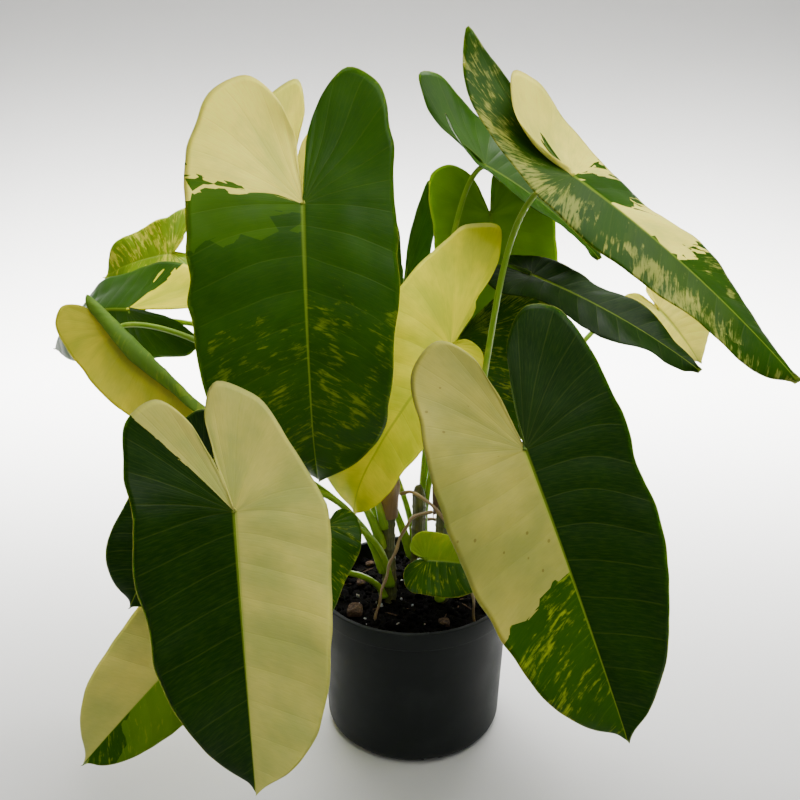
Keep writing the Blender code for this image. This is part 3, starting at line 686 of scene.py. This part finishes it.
def new_group(name, inputs, outputs):
    """An empty node group with the given sockets: its tree, and its inner inputs and outputs."""
    tree = bpy.data.node_groups.new(name, "ShaderNodeTree")
    for label, kind in inputs.items():
        tree.interface.new_socket(label, in_out="INPUT", socket_type="NodeSocket" + kind)
    for label, kind in outputs.items():
        tree.interface.new_socket(label, in_out="OUTPUT", socket_type="NodeSocket" + kind)
    return tree, tree.nodes.new("NodeGroupInput").outputs, tree.nodes.new("NodeGroupOutput").inputs


def use(tree, group, **values):
    return put(tree, "ShaderNodeGroup", values, node_tree=group).outputs


def new_material(name, **constants):
    """A material, its tree and its Principled node, with constants for that node's inputs."""
    material = bpy.data.materials.new(name)
    material.use_nodes = True
    shader = material.node_tree.nodes["Principled BSDF"]
    for key, value in constants.items():
        shader.inputs[key.replace("_", " ")].default_value = value
    return material, material.node_tree, shader


def wire(tree, shader, colour=None, roughness=None, height=None, depth=0.0003, strength=1.0):
    """Links a colour, a roughness and a bump's height to the shader."""
    if colour is not None:
        tree.links.new(colour, shader.inputs["Base Color"])
    if roughness is not None:
        tree.links.new(roughness, shader.inputs["Roughness"])
    if height is not None:
        bump = put(tree, "ShaderNodeBump", {"Height": height, "Distance": depth, "Strength": strength})
        tree.links.new(bump.outputs[0], shader.inputs["Normal"])


def cell_shift_group():
    """Random steps from -0.5 to 0.5 in cells that stretch along the side veins, in two sizes."""
    tree, given, result = new_group(
        "cell_shift", {"Along": "Float", "Out": "Float", "Seed": "Float"}, {"Shift": "Float"})
    along, out, seed = list(given)[:3]
    total = None
    for across, length, share in ((0.017, 0.022, 0.74), (0.0045, 0.009, 0.26)):
        at = stretched(along, 1 / across, out, 1 / length, seed)
        cell = put(tree, "ShaderNodeTexVoronoi", {"Vector": at, "Scale": 1.0, "Randomness": 0.9})
        value = times(split(cell.outputs["Color"])[0], share)
        total = value if total is None else plus(total, value)
    tree.links.new(calc("SUBTRACT", total, 0.5), result["Shift"])
    return tree


def fleck_group():
    """Where the second colour shows, for a share of the surface: streaks and crumbs along the veins."""
    tree, given, result = new_group(
        "flecks", {"Along": "Float", "Out": "Float", "Amount": "Float", "Seed": "Float"}, {"Mask": "Float"})
    along, out, amount, seed = list(given)[:4]
    streak = noise(stretched(along, 380.0, out, 75.0, seed), 1.0, 4.0, 0.65, 0.4)
    patch = noise(object_place(tree), 62.0, 4.0, 0.6, 0.3)
    both = plus(times(streak, 0.6), times(patch, 0.4))
    limit = calc("MULTIPLY_ADD", amount, -0.36, 0.68)
    mask = ease(calc("SUBTRACT", both, limit), -0.035, 0.095)
    shown = calc("GREATER_THAN", amount, 0.001)
    tree.links.new(times(mask, shown), result["Mask"])
    return tree


def leaf_group():
    """A blade's finish: tissue, veins, margin and specks, with the roughness and the fine relief."""
    tree, given, result = new_group(
        "leaf_surface",
        {"Tissue": "Color", "Fleck": "Color", "Amount": "Float", "Vein": "Float",
         "Along": "Float", "Out": "Float", "Edge": "Float", "Phase": "Float", "Spacing": "Float",
         "Specks": "Float", "Seed": "Float"},
        {"Color": "Color", "Roughness": "Float", "Height": "Float"})
    tissue, fleck, amount, vein, along, out, edge, phase, spacing, specks, seed = list(given)[:11]
    mask = use(tree, FLECKS, Along=along, Out=out, Amount=amount, Seed=seed)[0]
    colour = mix(mask, tissue, fleck)
    pale = ease(split(colour)[0], 0.22, 0.45)
    slow = noise(stretched(along, 28.0, out, 22.0, seed), 1.0, 3.0, 0.55)
    fine = noise(stretched(along, 900.0, out, 140.0), 1.0, 3.0, 0.6)
    shade = [ease(slow, 0.3, 0.7, *span) for span in ((0.80, 1.22), (0.86, 1.14), (0.9, 1.1))]
    shade = put(tree, "ShaderNodeCombineColor", dict(enumerate(shade))).outputs[0]
    colour = mix(1.0, colour, shade, "MULTIPLY")
    colour = mix(ease(fine, 0.35, 0.75, 0.0, 0.10), colour, (0.10, 0.16, 0.008))
    # side veins and the finer veins between them
    near = times(calc("PINGPONG", phase, 0.5), spacing)
    side = ease(near, 0.0001, 0.0007, 1.0, 0.0)
    third = calc("PINGPONG", times(phase, 5.0), 0.5)
    third = times(third, calc("DIVIDE", spacing, 5.0))
    third = ease(third, 0.0001, 0.0005, 1.0, 0.0)
    side_share = times(times(side, ease(edge, 0.0, 0.006)), 0.045)
    colour = mix(side_share, colour, (0.27, 0.36, 0.05))
    colour = mix(times(third, 0.012), colour, (0.27, 0.36, 0.05))
    # the midrib, and the margin's thin paler line, which is painted glow of light through the thin edge
    slim = ease(vein, 0.0, 1.0, RIB_WIDTH, 0.0006)
    rib = ease(calc("DIVIDE", out, slim), 0.30, 1.10, 1.0, 0.0)
    colour = mix(times(rib, 0.50), colour, (0.24, 0.35, 0.02))
    colour = mix(ease(edge, 0.0001, 0.0006, 0.22, 0.0), colour, (0.34, 0.42, 0.06))
    # brown specks, mostly on pale tissue
    spot_at = stretched(along, 160.0, out, 160.0, seed)
    spot = put(tree, "ShaderNodeTexVoronoi", {"Vector": spot_at, "Scale": 1.0})
    chance, grade = split(spot.outputs["Color"])
    size = calc("MULTIPLY_ADD", grade, 0.10, 0.05)
    dot = ease(calc("SUBTRACT", spot.outputs["Distance"], size), 0.0, 0.05, 1.0, 0.0)
    chosen = times(dot, calc("GREATER_THAN", chance, 0.86))
    dot = times(chosen, times(pale, specks))
    colour = mix(times(dot, 0.8), colour, (0.12, 0.07, 0.015))
    roughness = calc("MULTIPLY_ADD", fine, 0.10, 0.34)
    roughness = plus(roughness, ease(slow, 0.3, 0.7, -0.05, 0.05))
    height = calc("MULTIPLY_ADD", fine, 0.35, times(side, -0.25))
    height = plus(height, times(third, -0.12))
    for label, socket in (("Color", colour), ("Roughness", roughness), ("Height", height)):
        tree.links.new(socket, result[label])
    return tree


CELL_SHIFT = cell_shift_group()
FLECKS = fleck_group()
LEAF_SURFACE = leaf_group()


def tissue_ramp(tree, at, tissues):
    """The colour and the fleck share of a half's tissues, in steps from the notch to the tip."""
    ramp = put(tree, "ShaderNodeValToRGB", {0: at})
    ramp.color_ramp.interpolation = "CONSTANT"
    elements = ramp.color_ramp.elements
    elements.remove(elements[1])
    start = 0.0
    for index, (end, tissue) in enumerate(tissues):
        element = elements[0] if index == 0 else elements.new(start)
        element.position = start
        element.color = tissue
        start = (end + 1) / 2
    return ramp.outputs[0], ramp.outputs[1]


def leaf_material(name, leaf, seed, under):
    """A blade's skin: its tissues on the upper side, the same ones greyer and duller below."""
    material, tree, shader = new_material(
        name, Subsurface_Weight=0.35, Subsurface_Radius=(1.0, 1.0, 0.25), Subsurface_Scale=0.0010,
        Specular_IOR_Level=0.08)
    vein, lane = uv_map(tree, "veins")
    along, out = uv_map(tree, "metres")
    edge, side = uv_map(tree, "edges")
    phase, spacing = uv_map(tree, "ribs")
    shift = use(tree, CELL_SHIFT, Along=along, Out=out, Seed=float(seed))[0]
    at = calc("MULTIPLY_ADD", shift, leaf.ragged, vein)
    at = calc("MULTIPLY_ADD", at, 0.5, 0.5)
    left, left_amount = tissue_ramp(tree, at, leaf.left)
    right, right_amount = tissue_ramp(tree, at, leaf.right or leaf.left)
    is_right = calc("GREATER_THAN", side, 0.0)
    tissue = mix(is_right, left, right)
    amount = put(tree, "ShaderNodeMix", {0: is_right, 2: left_amount, 3: right_amount}).outputs[0]
    outward = ease(calc("ABSOLUTE", lane), 0.15, 0.70, leaf.inner, 1.0)
    amount = times(amount, outward)
    colour, roughness, height = use(
        tree, LEAF_SURFACE, Tissue=tissue, Fleck=tone(leaf.fleck), Amount=amount, Vein=vein, Along=along,
        Out=out, Edge=edge, Phase=phase, Spacing=spacing, Specks=leaf.specks, Seed=float(seed))
    if under:
        green = ease(split(colour)[0], 0.15, 0.40, 1.0, 0.0)
        colour = mix(times(green, leaf.bloom), colour, (0.13, 0.23, 0.05))
        roughness = plus(roughness, 0.22)
    wire(tree, shader, colour, roughness, height, 0.00018, 0.8)
    return material


def stalk_material(name, base, streak, pale):
    """Fleshy stalks: long fine streaks, paler patches, and small lens-shaped marks."""
    material, tree, shader = new_material(
        name, Subsurface_Weight=0.3, Subsurface_Radius=(1.0, 1.0, 0.3), Subsurface_Scale=0.002,
        Specular_IOR_Level=0.4)
    turn, length = uv_map(tree, "round")
    fibres = noise(stretched(turn, 60.0, length, 45.0), 1.0, 3.0, 0.6)
    slow = noise(object_place(tree), 60.0, 3.0)
    marks = noise(stretched(turn, 26.0, length, 320.0))
    colour = mix(ease(fibres, 0.35, 0.68), base, streak)
    colour = mix(ease(slow, 0.52, 0.72, 0.0, 0.6), colour, pale)
    colour = mix(ease(marks, 0.66, 0.72, 0.0, 0.5), colour, pale)
    wire(tree, shader, colour, ease(fibres, 0.3, 0.7, 0.34, 0.50), fibres, 0.0002, 0.6)
    return material


def mix_material():
    """Potting mix: two browns mixed by clods and by grain, both far darker than real earth as painted shade
    from the leaves above.
    """
    material, tree, shader = new_material("mix", Specular_IOR_Level=0.1)
    at = object_place(tree)
    clods = noise(at, 420.0, 5.0, 0.65)
    grain = noise(at, 3780.0, 3.0, 0.7)
    # painted shade: these browns are darkened for the shade under the leaves; the crumbs use them too
    dark = (0.0005, 0.0004, 0.0003)
    colour = mix(ease(clods, 0.38, 0.66), dark, (0.0030, 0.0019, 0.0011))
    colour = mix(ease(grain, 0.40, 0.75, 0.0, 0.5), colour, dark)
    height = plus(clods, times(grain, 0.5))
    wire(tree, shader, colour, ease(grain, 0.3, 0.7, 0.82, 0.92), height, 0.0006)
    return material


def bark_material(name):
    """Flat bark: layered stripes across the thickness, with pale worn fibres."""
    material, tree, shader = new_material(name, Specular_IOR_Level=0.3)
    at = object_place(tree)
    layers = put(tree, "ShaderNodeTexWave", {
        "Vector": at, "Scale": 260.0, "Distortion": 7.0, "Detail": 3.0, "Detail Scale": 2.0},
        bands_direction="Z").outputs[1]
    patches = noise(at, 240.0, 4.0, 0.6)
    colour = mix(layers, (0.030, 0.017, 0.009), (0.10, 0.055, 0.026))
    colour = mix(ease(patches, 0.52, 0.72, 0.0, 0.7), colour, (0.17, 0.11, 0.06))
    height = plus(layers, patches)
    wire(tree, shader, colour, ease(patches, 0.3, 0.7, 0.72, 0.95), height, 0.0004)
    return material


def perlite_material():
    """Perlite: white dimmed to grey as painted shade, and painted darker still in its pits."""
    material, tree, shader = new_material("perlite", Subsurface_Weight=0.2, Subsurface_Scale=0.001)
    at = object_place(tree)
    pits = noise(at, 1500.0, 3.0, 0.7)
    dirt = noise(at, 260.0, 3.0)
    # painted shade: the perlite's white is dimmed, and darker still in the pits
    colour = mix(ease(pits, 0.35, 0.6), (0.22, 0.215, 0.20), (0.50, 0.49, 0.46))
    colour = mix(ease(dirt, 0.48, 0.7, 0.0, 0.75), colour, (0.16, 0.12, 0.08))
    wire(tree, shader, colour, ease(pits, 0.3, 0.7, 0.8, 0.95), pits, 0.0004)
    return material


def sheath_material():
    """Dry papery sheaths: lengthwise fibres, torn pale tips, dark foot."""
    material, tree, shader = new_material(
        "sheath", Subsurface_Weight=0.25, Subsurface_Radius=(1.0, 0.6, 0.3), Subsurface_Scale=0.001)
    turn, height = uv_map(tree, "round")
    fibres = noise(stretched(turn, 34.0, height, 60.0), 1.0, 4.0, 0.65)
    colour = mix(fibres, (0.06, 0.030, 0.014), (0.34, 0.21, 0.11))
    colour = mix(ease(height, 0.016, 0.034, 0.0, 0.5), colour, (0.42, 0.31, 0.17))
    wire(tree, shader, colour, ease(fibres, 0.3, 0.7, 0.55, 0.8), fibres, 0.0005)
    return material


def pot_material():
    """Matt black plastic: a fine grain, dusty patches, and thin pale scuffs."""
    material, tree, shader = new_material("pot", Specular_IOR_Level=0.12)
    at = object_place(tree)
    grain = noise(at, 1900.0, 2.0, 0.6)
    dust = noise(at, 26.0, 5.0, 0.6)
    turn, run = uv_map(tree, "round")
    rub = noise(stretched(turn, 26.0, run, 420.0), 1.0, 4.0, 0.75, 0.5)
    scuff = times(ease(rub, 0.66, 0.74), ease(dust, 0.45, 0.62))
    colour = mix(ease(dust, 0.42, 0.75, 0.0, 0.6), (0.0100, 0.0128, 0.0122), (0.021, 0.025, 0.024))
    colour = mix(times(scuff, 0.4), colour, (0.040, 0.040, 0.038))
    roughness = plus(ease(dust, 0.35, 0.7, 0.42, 0.56), times(scuff, 0.15))
    wire(tree, shader, colour, roughness, plus(grain, times(scuff, -0.4)), 0.00008, 0.7)
    return material


# ---- pot, mix and what lies on it ----


def arc(centre, radius, start, end, steps):
    """Points of a circle's arc in the profile's plane, between two angles."""
    angle = np.radians(np.linspace(start, end, steps))
    return np.stack([centre[0] + radius * np.cos(angle), centre[1] + radius * np.sin(angle)], -1)


def wall_radius(height):
    return FOOT_RADIUS + (RIM_RADIUS - LIP_STEP - FOOT_RADIUS) * height / POT_HEIGHT


def inner_radius(height):
    """The pot's inside radius at a height above its foot's round."""
    return wall_radius(height) - POT_WALL


def pot_profile():
    """The pot's closed outline, with its edges rounded: outside down, under, inside up, over the lip."""
    low = POT_HEIGHT - LIP_HEIGHT
    r = LIP_ROUND
    centre = (wall_radius(FOOT_ROUND) - FOOT_ROUND, FOOT_ROUND)
    lip = [arc((RIM_RADIUS - r, POT_HEIGHT - r), r, 90, 0, 7),
           arc((RIM_RADIUS - LIP_TAPER - r, low + r), r, 0, -90, 7),
           arc((wall_radius(low) + 0.0006, low - 0.0006), 0.0006, 90, 180, 5)]
    fall = np.linspace(low - 0.003, FOOT_ROUND + 0.002, 30)
    foot = [arc(centre, FOOT_ROUND, 0, -90, 14), [[FOOT_RADIUS * 0.5, 0.0], [0.0, 0.0], [0.0, POT_FLOOR]],
            [[FOOT_RADIUS * 0.5, POT_FLOOR]]]
    inside = arc(centre, 1.0, -90, 0, 10) - np.array(centre)
    inside = np.array(centre) + inside * np.array([FOOT_ROUND - POT_WALL, FOOT_ROUND - POT_FLOOR])
    rise = np.linspace(FOOT_ROUND + 0.004, POT_HEIGHT - 0.003, 24)
    close = [inside, np.stack([inner_radius(rise), rise], -1),
             arc((inner_radius(POT_HEIGHT) + r, POT_HEIGHT - r), r, 180, 90, 7)]
    profile = np.concatenate(lip + [np.stack([wall_radius(fall), fall], -1)] + foot + close)
    return np.concatenate([profile, profile[:1]])


def cut_drains(pot):
    """Cuts the drain slots through the foot: boxes set round it, taken away from the pot."""
    corner = np.array([[x, y, z] for x in (-1, 1) for y in (-1, 1) for z in (-1, 1)], float)
    corner *= np.array([FOOT_ROUND * 0.6, DRAIN_WIDTH / 2, DRAIN_HEIGHT])
    corner[:, 0] += wall_radius(0) - FOOT_ROUND * 0.25
    angle = 2 * math.pi * (np.arange(DRAIN_COUNT) + 0.25) / DRAIN_COUNT
    points = np.einsum("nij,aj->nai", turns(angle, (0, 1)), corner)
    sides = np.array([[0, 1, 3, 2], [4, 6, 7, 5], [0, 4, 5, 1], [2, 3, 7, 6], [0, 2, 6, 4], [1, 5, 7, 3]])
    quads = (np.arange(DRAIN_COUNT)[:, None, None] * 8 + sides).reshape(-1, 4)
    cutter = new_piece("drain_cutter", points.reshape(-1, 3), quads, {}, [])
    cut = pot.modifiers.new("drain", "BOOLEAN")
    cut.operation = "DIFFERENCE"
    cut.object = cutter
    bpy.context.view_layer.update()
    whole = pot.evaluated_get(bpy.context.evaluated_depsgraph_get())
    pot.data = bpy.data.meshes.new_from_object(whole)
    pot.modifiers.clear()
    bpy.data.objects.remove(cutter)


def build_pot():
    pot = turned("nursery_pot", pot_profile(), POT_SIDES, [pot_material()])
    cut_drains(pot)
    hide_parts("pot")


def mix_height(x, y):
    """The mix's surface: a low dome that sinks to the wall, with clods of several sizes."""
    radius = np.hypot(x, y) / inner_radius(MIX_TOP)
    at = np.stack([x, y, 0 * x], -1)
    fade = np.clip((1.02 - radius) / 0.08, 0.3, 1)
    clods = sum(height * rough(at, size, seed) for height, size, seed in CLODS)
    return MIX_TOP - 0.0012 - MIX_DOME * np.clip(radius, 0, 1) ** 2 + clods * fade


def build_mix():
    """The mix: its rough top, and sides that stand just inside the pot's wall."""
    rim = inner_radius(MIX_TOP) - MIX_GAP
    top = [(rim * share, MIX_TOP) for share in np.linspace(0, 1, 90)]
    low = [(inner_radius(h) - MIX_GAP, h) for h in np.linspace(MIX_TOP - 0.010, FOOT_ROUND, 8)]
    base = POT_FLOOR + 0.0003
    low += [(inner_radius(FOOT_ROUND) - FOOT_ROUND, base), (0.0, base)]

    def lift(points):
        points[: len(top), :, 2] = mix_height(points[: len(top), :, 0], points[: len(top), :, 1])
        return points

    material = mix_material()
    piece = turned("mix_body", top + low, 220, [material], lift=lift)
    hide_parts("potting_mix")
    return material


def ball(rows, columns):
    """The points of a ball of radius one, in rows from its top pole to the other."""
    up = np.linspace(0, math.pi, rows + 1)[:, None]
    turn = np.linspace(0, 2 * math.pi, columns + 1)
    return grid_of(np.sin(up) * np.cos(turn), np.sin(up) * np.sin(turn), np.cos(up))


def scattered(name, centres, sizes, spin, rng, jag, rows, columns, materials):
    """Many rough lumps in one mesh: spheres of rows by columns, each scaled, turned and jagged."""
    factor = 1 + jag * (rng.random((len(centres), rows + 1, columns + 1)) - 0.5)
    factor[:, :, -1] = factor[:, :, 0]
    factor[:, 0] = factor[:, 0, :1]
    factor[:, -1] = factor[:, -1, :1]
    sphere = ball(rows, columns)
    shape = np.sign(sphere) * np.abs(sphere) ** 0.8
    local = shape[None] * factor[..., None] * sizes[:, None, None, :]
    about_z = turns(spin[:, 0], (0, 1))
    about_x = turns(spin[:, 1], (1, 2))
    points = np.einsum("nij,nabj->nabi", about_z @ about_x, local) + centres[:, None, None, :]
    each = (rows + 1) * (columns + 1)
    quads = grid_quads(rows + 1, columns + 1)[:, ::-1]
    quads = (np.arange(len(centres))[:, None, None] * each + quads).reshape(-1, 4)
    piece = new_piece(name, points.reshape(-1, 3), quads, {}, materials)
    return piece


def spread(rng, count, inner, outer):
    """Random places in a ring round the axis, evenly by area."""
    radius = np.sqrt(rng.uniform(inner**2, outer**2, count))
    angle = rng.uniform(0, 2 * math.pi, count)
    return radius * np.cos(angle), radius * np.sin(angle)


def build_litter(earth):
    """Crumbs, perlite, and thin fibres on the mix."""
    rng = np.random.default_rng(11)
    outer = inner_radius(MIX_TOP) - 0.003
    for name, count, inner, least, more, power, uneven, sunk, jag, columns, material in (
        ("crumbs", CRUMBS, 0.004, 0.0006, 0.0026, 2.2, (0.6, 1.3), 0.25, 0.7, 6, earth),
        ("perlite", PERLITE, 0.010, 0.0008, 0.0013, 1.6, (0.7, 1.2), 0.4, 0.6, 7, perlite_material()),
    ):
        x, y = spread(rng, count, inner, outer)
        size = least + more * rng.random(count)[:, None] ** power
        sizes = size * rng.uniform(*uneven, (count, 3))
        centres = np.stack([x, y, mix_height(x, y) + sizes[:, 2] * sunk], -1)
        scattered(name, centres, sizes, rng.uniform(0, 6, (count, 2)), rng, jag, 5, columns, [material])
    x, y = spread(rng, FIBRES, 0.020, outer - 0.006)
    sizes = grid_of(rng.uniform(0.004, 0.009, FIBRES), 0.0006, 0.0005)
    centres = np.stack([x, y, mix_height(x, y) + 0.0010], -1)
    spin = np.stack([rng.uniform(0, 6, FIBRES), rng.uniform(-0.1, 0.1, FIBRES)], -1)
    scattered("fibres", centres, sizes, spin, rng, 0.4, 5, 6, [bark_material("fibre")])


def build_chips():
    """Each bark chip as a worn slab in its packed place."""
    material = bark_material("bark")
    sphere = ball(16, 32)
    names = sorted(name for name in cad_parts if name.startswith("bark_chip"))
    for index, name in enumerate(names):
        low, high = (np.array(corner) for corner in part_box(name))
        slab = np.sign(sphere) * np.abs(sphere) ** 0.45
        slab[..., 2] *= 1 - 0.35 * slab[..., 0] ** 2
        points = (low + high) / 2 + slab * (high - low) / 2 * 0.92
        wear = rough(points, 0.0035, 20 + index) * 0.0006 + rough(points, 0.0012, 40 + index) * 0.00025
        points = points + sphere * wear[..., None]
        points[:, -1] = points[:, 0]
        points[0], points[-1] = points[0, 0], points[-1, 0]
        piece = new_piece(name + "_worn", points.reshape(-1, 3), grid_quads(17, 33)[:, ::-1], {}, [material])
        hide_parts(name)


# ---- stems, sheaths and roots ----


def build_stems():
    """Stems with a ring at each node and a rounded top."""
    material = stalk_material("stem", (0.055, 0.060, 0.018), (0.13, 0.14, 0.045), (0.20, 0.15, 0.08))
    for index, (name, (x, y)) in enumerate(STEMS.items()):
        low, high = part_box(name)[0].z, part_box(name)[1].z
        z = np.linspace(low, high, 120)
        path = np.stack([x + 0.0006 * np.sin(70 * z + index), y + 0.0006 * np.cos(60 * z), z], -1)
        from_node = np.mod(z - MIX_TOP - NODE_FIRST + NODE_STEP / 2, NODE_STEP) - NODE_STEP / 2
        ring = np.exp(-((from_node / 0.0009) ** 2))
        radii = STEM_RADIUS * (0.84 + 0.10 * ring) * np.sqrt(np.clip((high - z) / 0.012, 0, 1)) ** 0.7

        def bumps(angle, length):
            return 0.0002 * np.sin(5 * angle + 40 * length) + 0.0002 * np.sin(11 * angle)

        stem = swept_tube(name + "_flesh", path, radii, np.array([1.0, 0.0, 0.0]), 40, [material], bumps)
        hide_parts(name)


def build_sheaths():
    """Papery half tubes that narrow to a curled point."""
    material = sheath_material()
    rows, columns = 60, 40
    for name, (stem, heading) in SHEATHS.items():
        x, y = STEMS[stem]
        up = np.linspace(0.0, 1.0, rows)[:, None]
        across = np.linspace(-0.5, 0.5, columns)[None, :]
        wrap = math.radians(SHEATH_SPREAD) * (1 - 0.92 * up**1.5)
        radius = STEM_RADIUS + 0.0008 + 0.004 * up**2 + 0.0006 * np.sin(9 * across + 3 * up) * up
        angle = math.radians(heading) + across * wrap
        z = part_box(name)[0].z + SHEATH_HEIGHT * (up + 0.02 * np.sin(40 * across) * up)
        middle = grid_of(x + radius * np.cos(angle), y + radius * np.sin(angle), z).reshape(-1, 3)
        quads = grid_quads(rows, columns)
        normal = point_normals(middle, quads)
        inside = np.zeros((rows, columns))
        inside[1:-1, 1:-1] = 0.00022
        skin = inside.reshape(-1, 1) * normal
        flat = corner_values(grid_of(across, SHEATH_HEIGHT * up), quads)
        both = np.concatenate([quads, quads[:, ::-1] + len(middle)])
        piece = new_piece(name + "_paper", np.concatenate([middle + skin, middle - skin]), both,
                          {"round": np.concatenate([flat, flat[:, ::-1]])}, [material])
        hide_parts(name)


def build_roots():
    """Aerial roots: thin, a little knobbly, tapering into the mix."""
    material = stalk_material("aerial_root", (0.17, 0.11, 0.055), (0.30, 0.21, 0.11), (0.36, 0.28, 0.16))
    for name, points in ROOTS.items():
        share = np.linspace(0, 1, 70)
        path = smooth_line([place(p) for p in points], share)
        path[:, 0] += 0.0006 * np.sin(31 * share)
        path[:, 1] += 0.0006 * np.sin(23 * share)
        radii = ROOT_RADIUS * (1 - 0.25 * share + 0.10 * np.sin(47 * share))
        root = swept_tube(name + "_skin", path, radii, np.array([0.2, 0.9, 0.1]), 16, [material])
        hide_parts(name)


# ---- room, light and camera ----


def build_room():
    """A pale floor that sweeps up to a wall behind the plant, with painted light falloff: darker near the
    camera and high up the wall.
    """
    floor = np.stack([np.linspace(-3.0, SWEEP_START, 20), np.zeros(20)], -1)
    run = np.concatenate([
        floor, arc((SWEEP_START, SWEEP_RADIUS), SWEEP_RADIUS, -90, 0, 24)[1:],
        [[SWEEP_START + SWEEP_RADIUS, 3.2]]])
    points = grid_of(np.array([-2.2, 2.2]), run[:, :1], run[:, 1:])
    mesh = bpy.data.meshes.new("sweep")
    quads = grid_quads(len(run), 2)
    mesh.from_pydata(points.reshape(-1, 3).tolist(), [], quads.tolist())
    mesh.shade_smooth()
    material, tree, shader = new_material("sweep", Roughness=0.8, Specular_IOR_Level=0.1)
    _, y, z = put(tree, "ShaderNodeSeparateXYZ", {0: object_place(tree)}).outputs
    # painted light: the paper is darker towards the camera and higher up the wall, where less lamp light
    # falls
    light = times(ease(y, -0.35, 0.55, 0.86, 1.0), ease(z, 0.02, 0.85, 1.0, 0.46))
    paper = mix(1.0, (0.70, 0.70, 0.69), light, "MULTIPLY")
    wire(tree, shader, paper)
    mesh.materials.append(material)
    sweep = bpy.data.objects.new("sweep", mesh)
    bpy.context.scene.collection.objects.link(sweep)


def build_light():
    """A soft surround that the camera sees brighter than the plant does, and the lamps."""
    world = bpy.data.worlds.new("room")
    world.use_nodes = True
    tree = world.node_tree
    soft = put(tree, "ShaderNodeBackground", {"Color": (0.93, 0.96, 1.0, 1.0), "Strength": 0.14})
    seen = put(tree, "ShaderNodeBackground", {"Color": (0.97, 0.98, 1.0, 1.0), "Strength": 0.75})
    facing_camera = put(tree, "ShaderNodeLightPath").outputs["Is Camera Ray"]
    both = put(tree, "ShaderNodeMixShader", {0: facing_camera, 1: soft.outputs[0], 2: seen.outputs[0]})
    tree.links.new(both.outputs[0], tree.nodes["World Output"].inputs["Surface"])
    bpy.context.scene.world = world
    for name, (place_at, target, size, power, colour, spread_angle) in LAMPS.items():
        lamp = bpy.data.lights.new(name, "AREA")
        lamp.spread = math.radians(spread_angle)
        lamp.shape = "RECTANGLE"
        lamp.size, lamp.size_y = size
        lamp.energy = power
        lamp.color = colour
        thing = bpy.data.objects.new(name, lamp)
        thing.location = place_at
        thing.rotation_euler = (Vector(target) - Vector(place_at)).to_track_quat("-Z", "Y").to_euler()
        bpy.context.scene.collection.objects.link(thing)


def build_camera():
    lens = bpy.data.cameras.new("camera")
    lens.lens = 38.25
    lens.clip_start = 0.01
    camera = bpy.data.objects.new("camera", lens)
    camera.location = (-0.011, -0.61, 0.473)
    camera.rotation_euler = (math.radians(72), 0.0, 0.0)
    bpy.context.scene.collection.objects.link(camera)
    bpy.context.scene.camera = camera


def main():
    build_pot()
    earth = build_mix()
    build_litter(earth)
    build_chips()
    build_stems()
    build_sheaths()
    build_roots()
    stalk = stalk_material("petiole", (0.15, 0.30, 0.003), (0.24, 0.40, 0.008), (0.40, 0.48, 0.05))
    for seed, (name, leaf) in enumerate(LEAVES.items()):
        build_blade(name, leaf, 3 + 7 * seed)
        build_petiole(name, leaf, stalk)
    build_room()
    build_light()
    build_camera()


main()
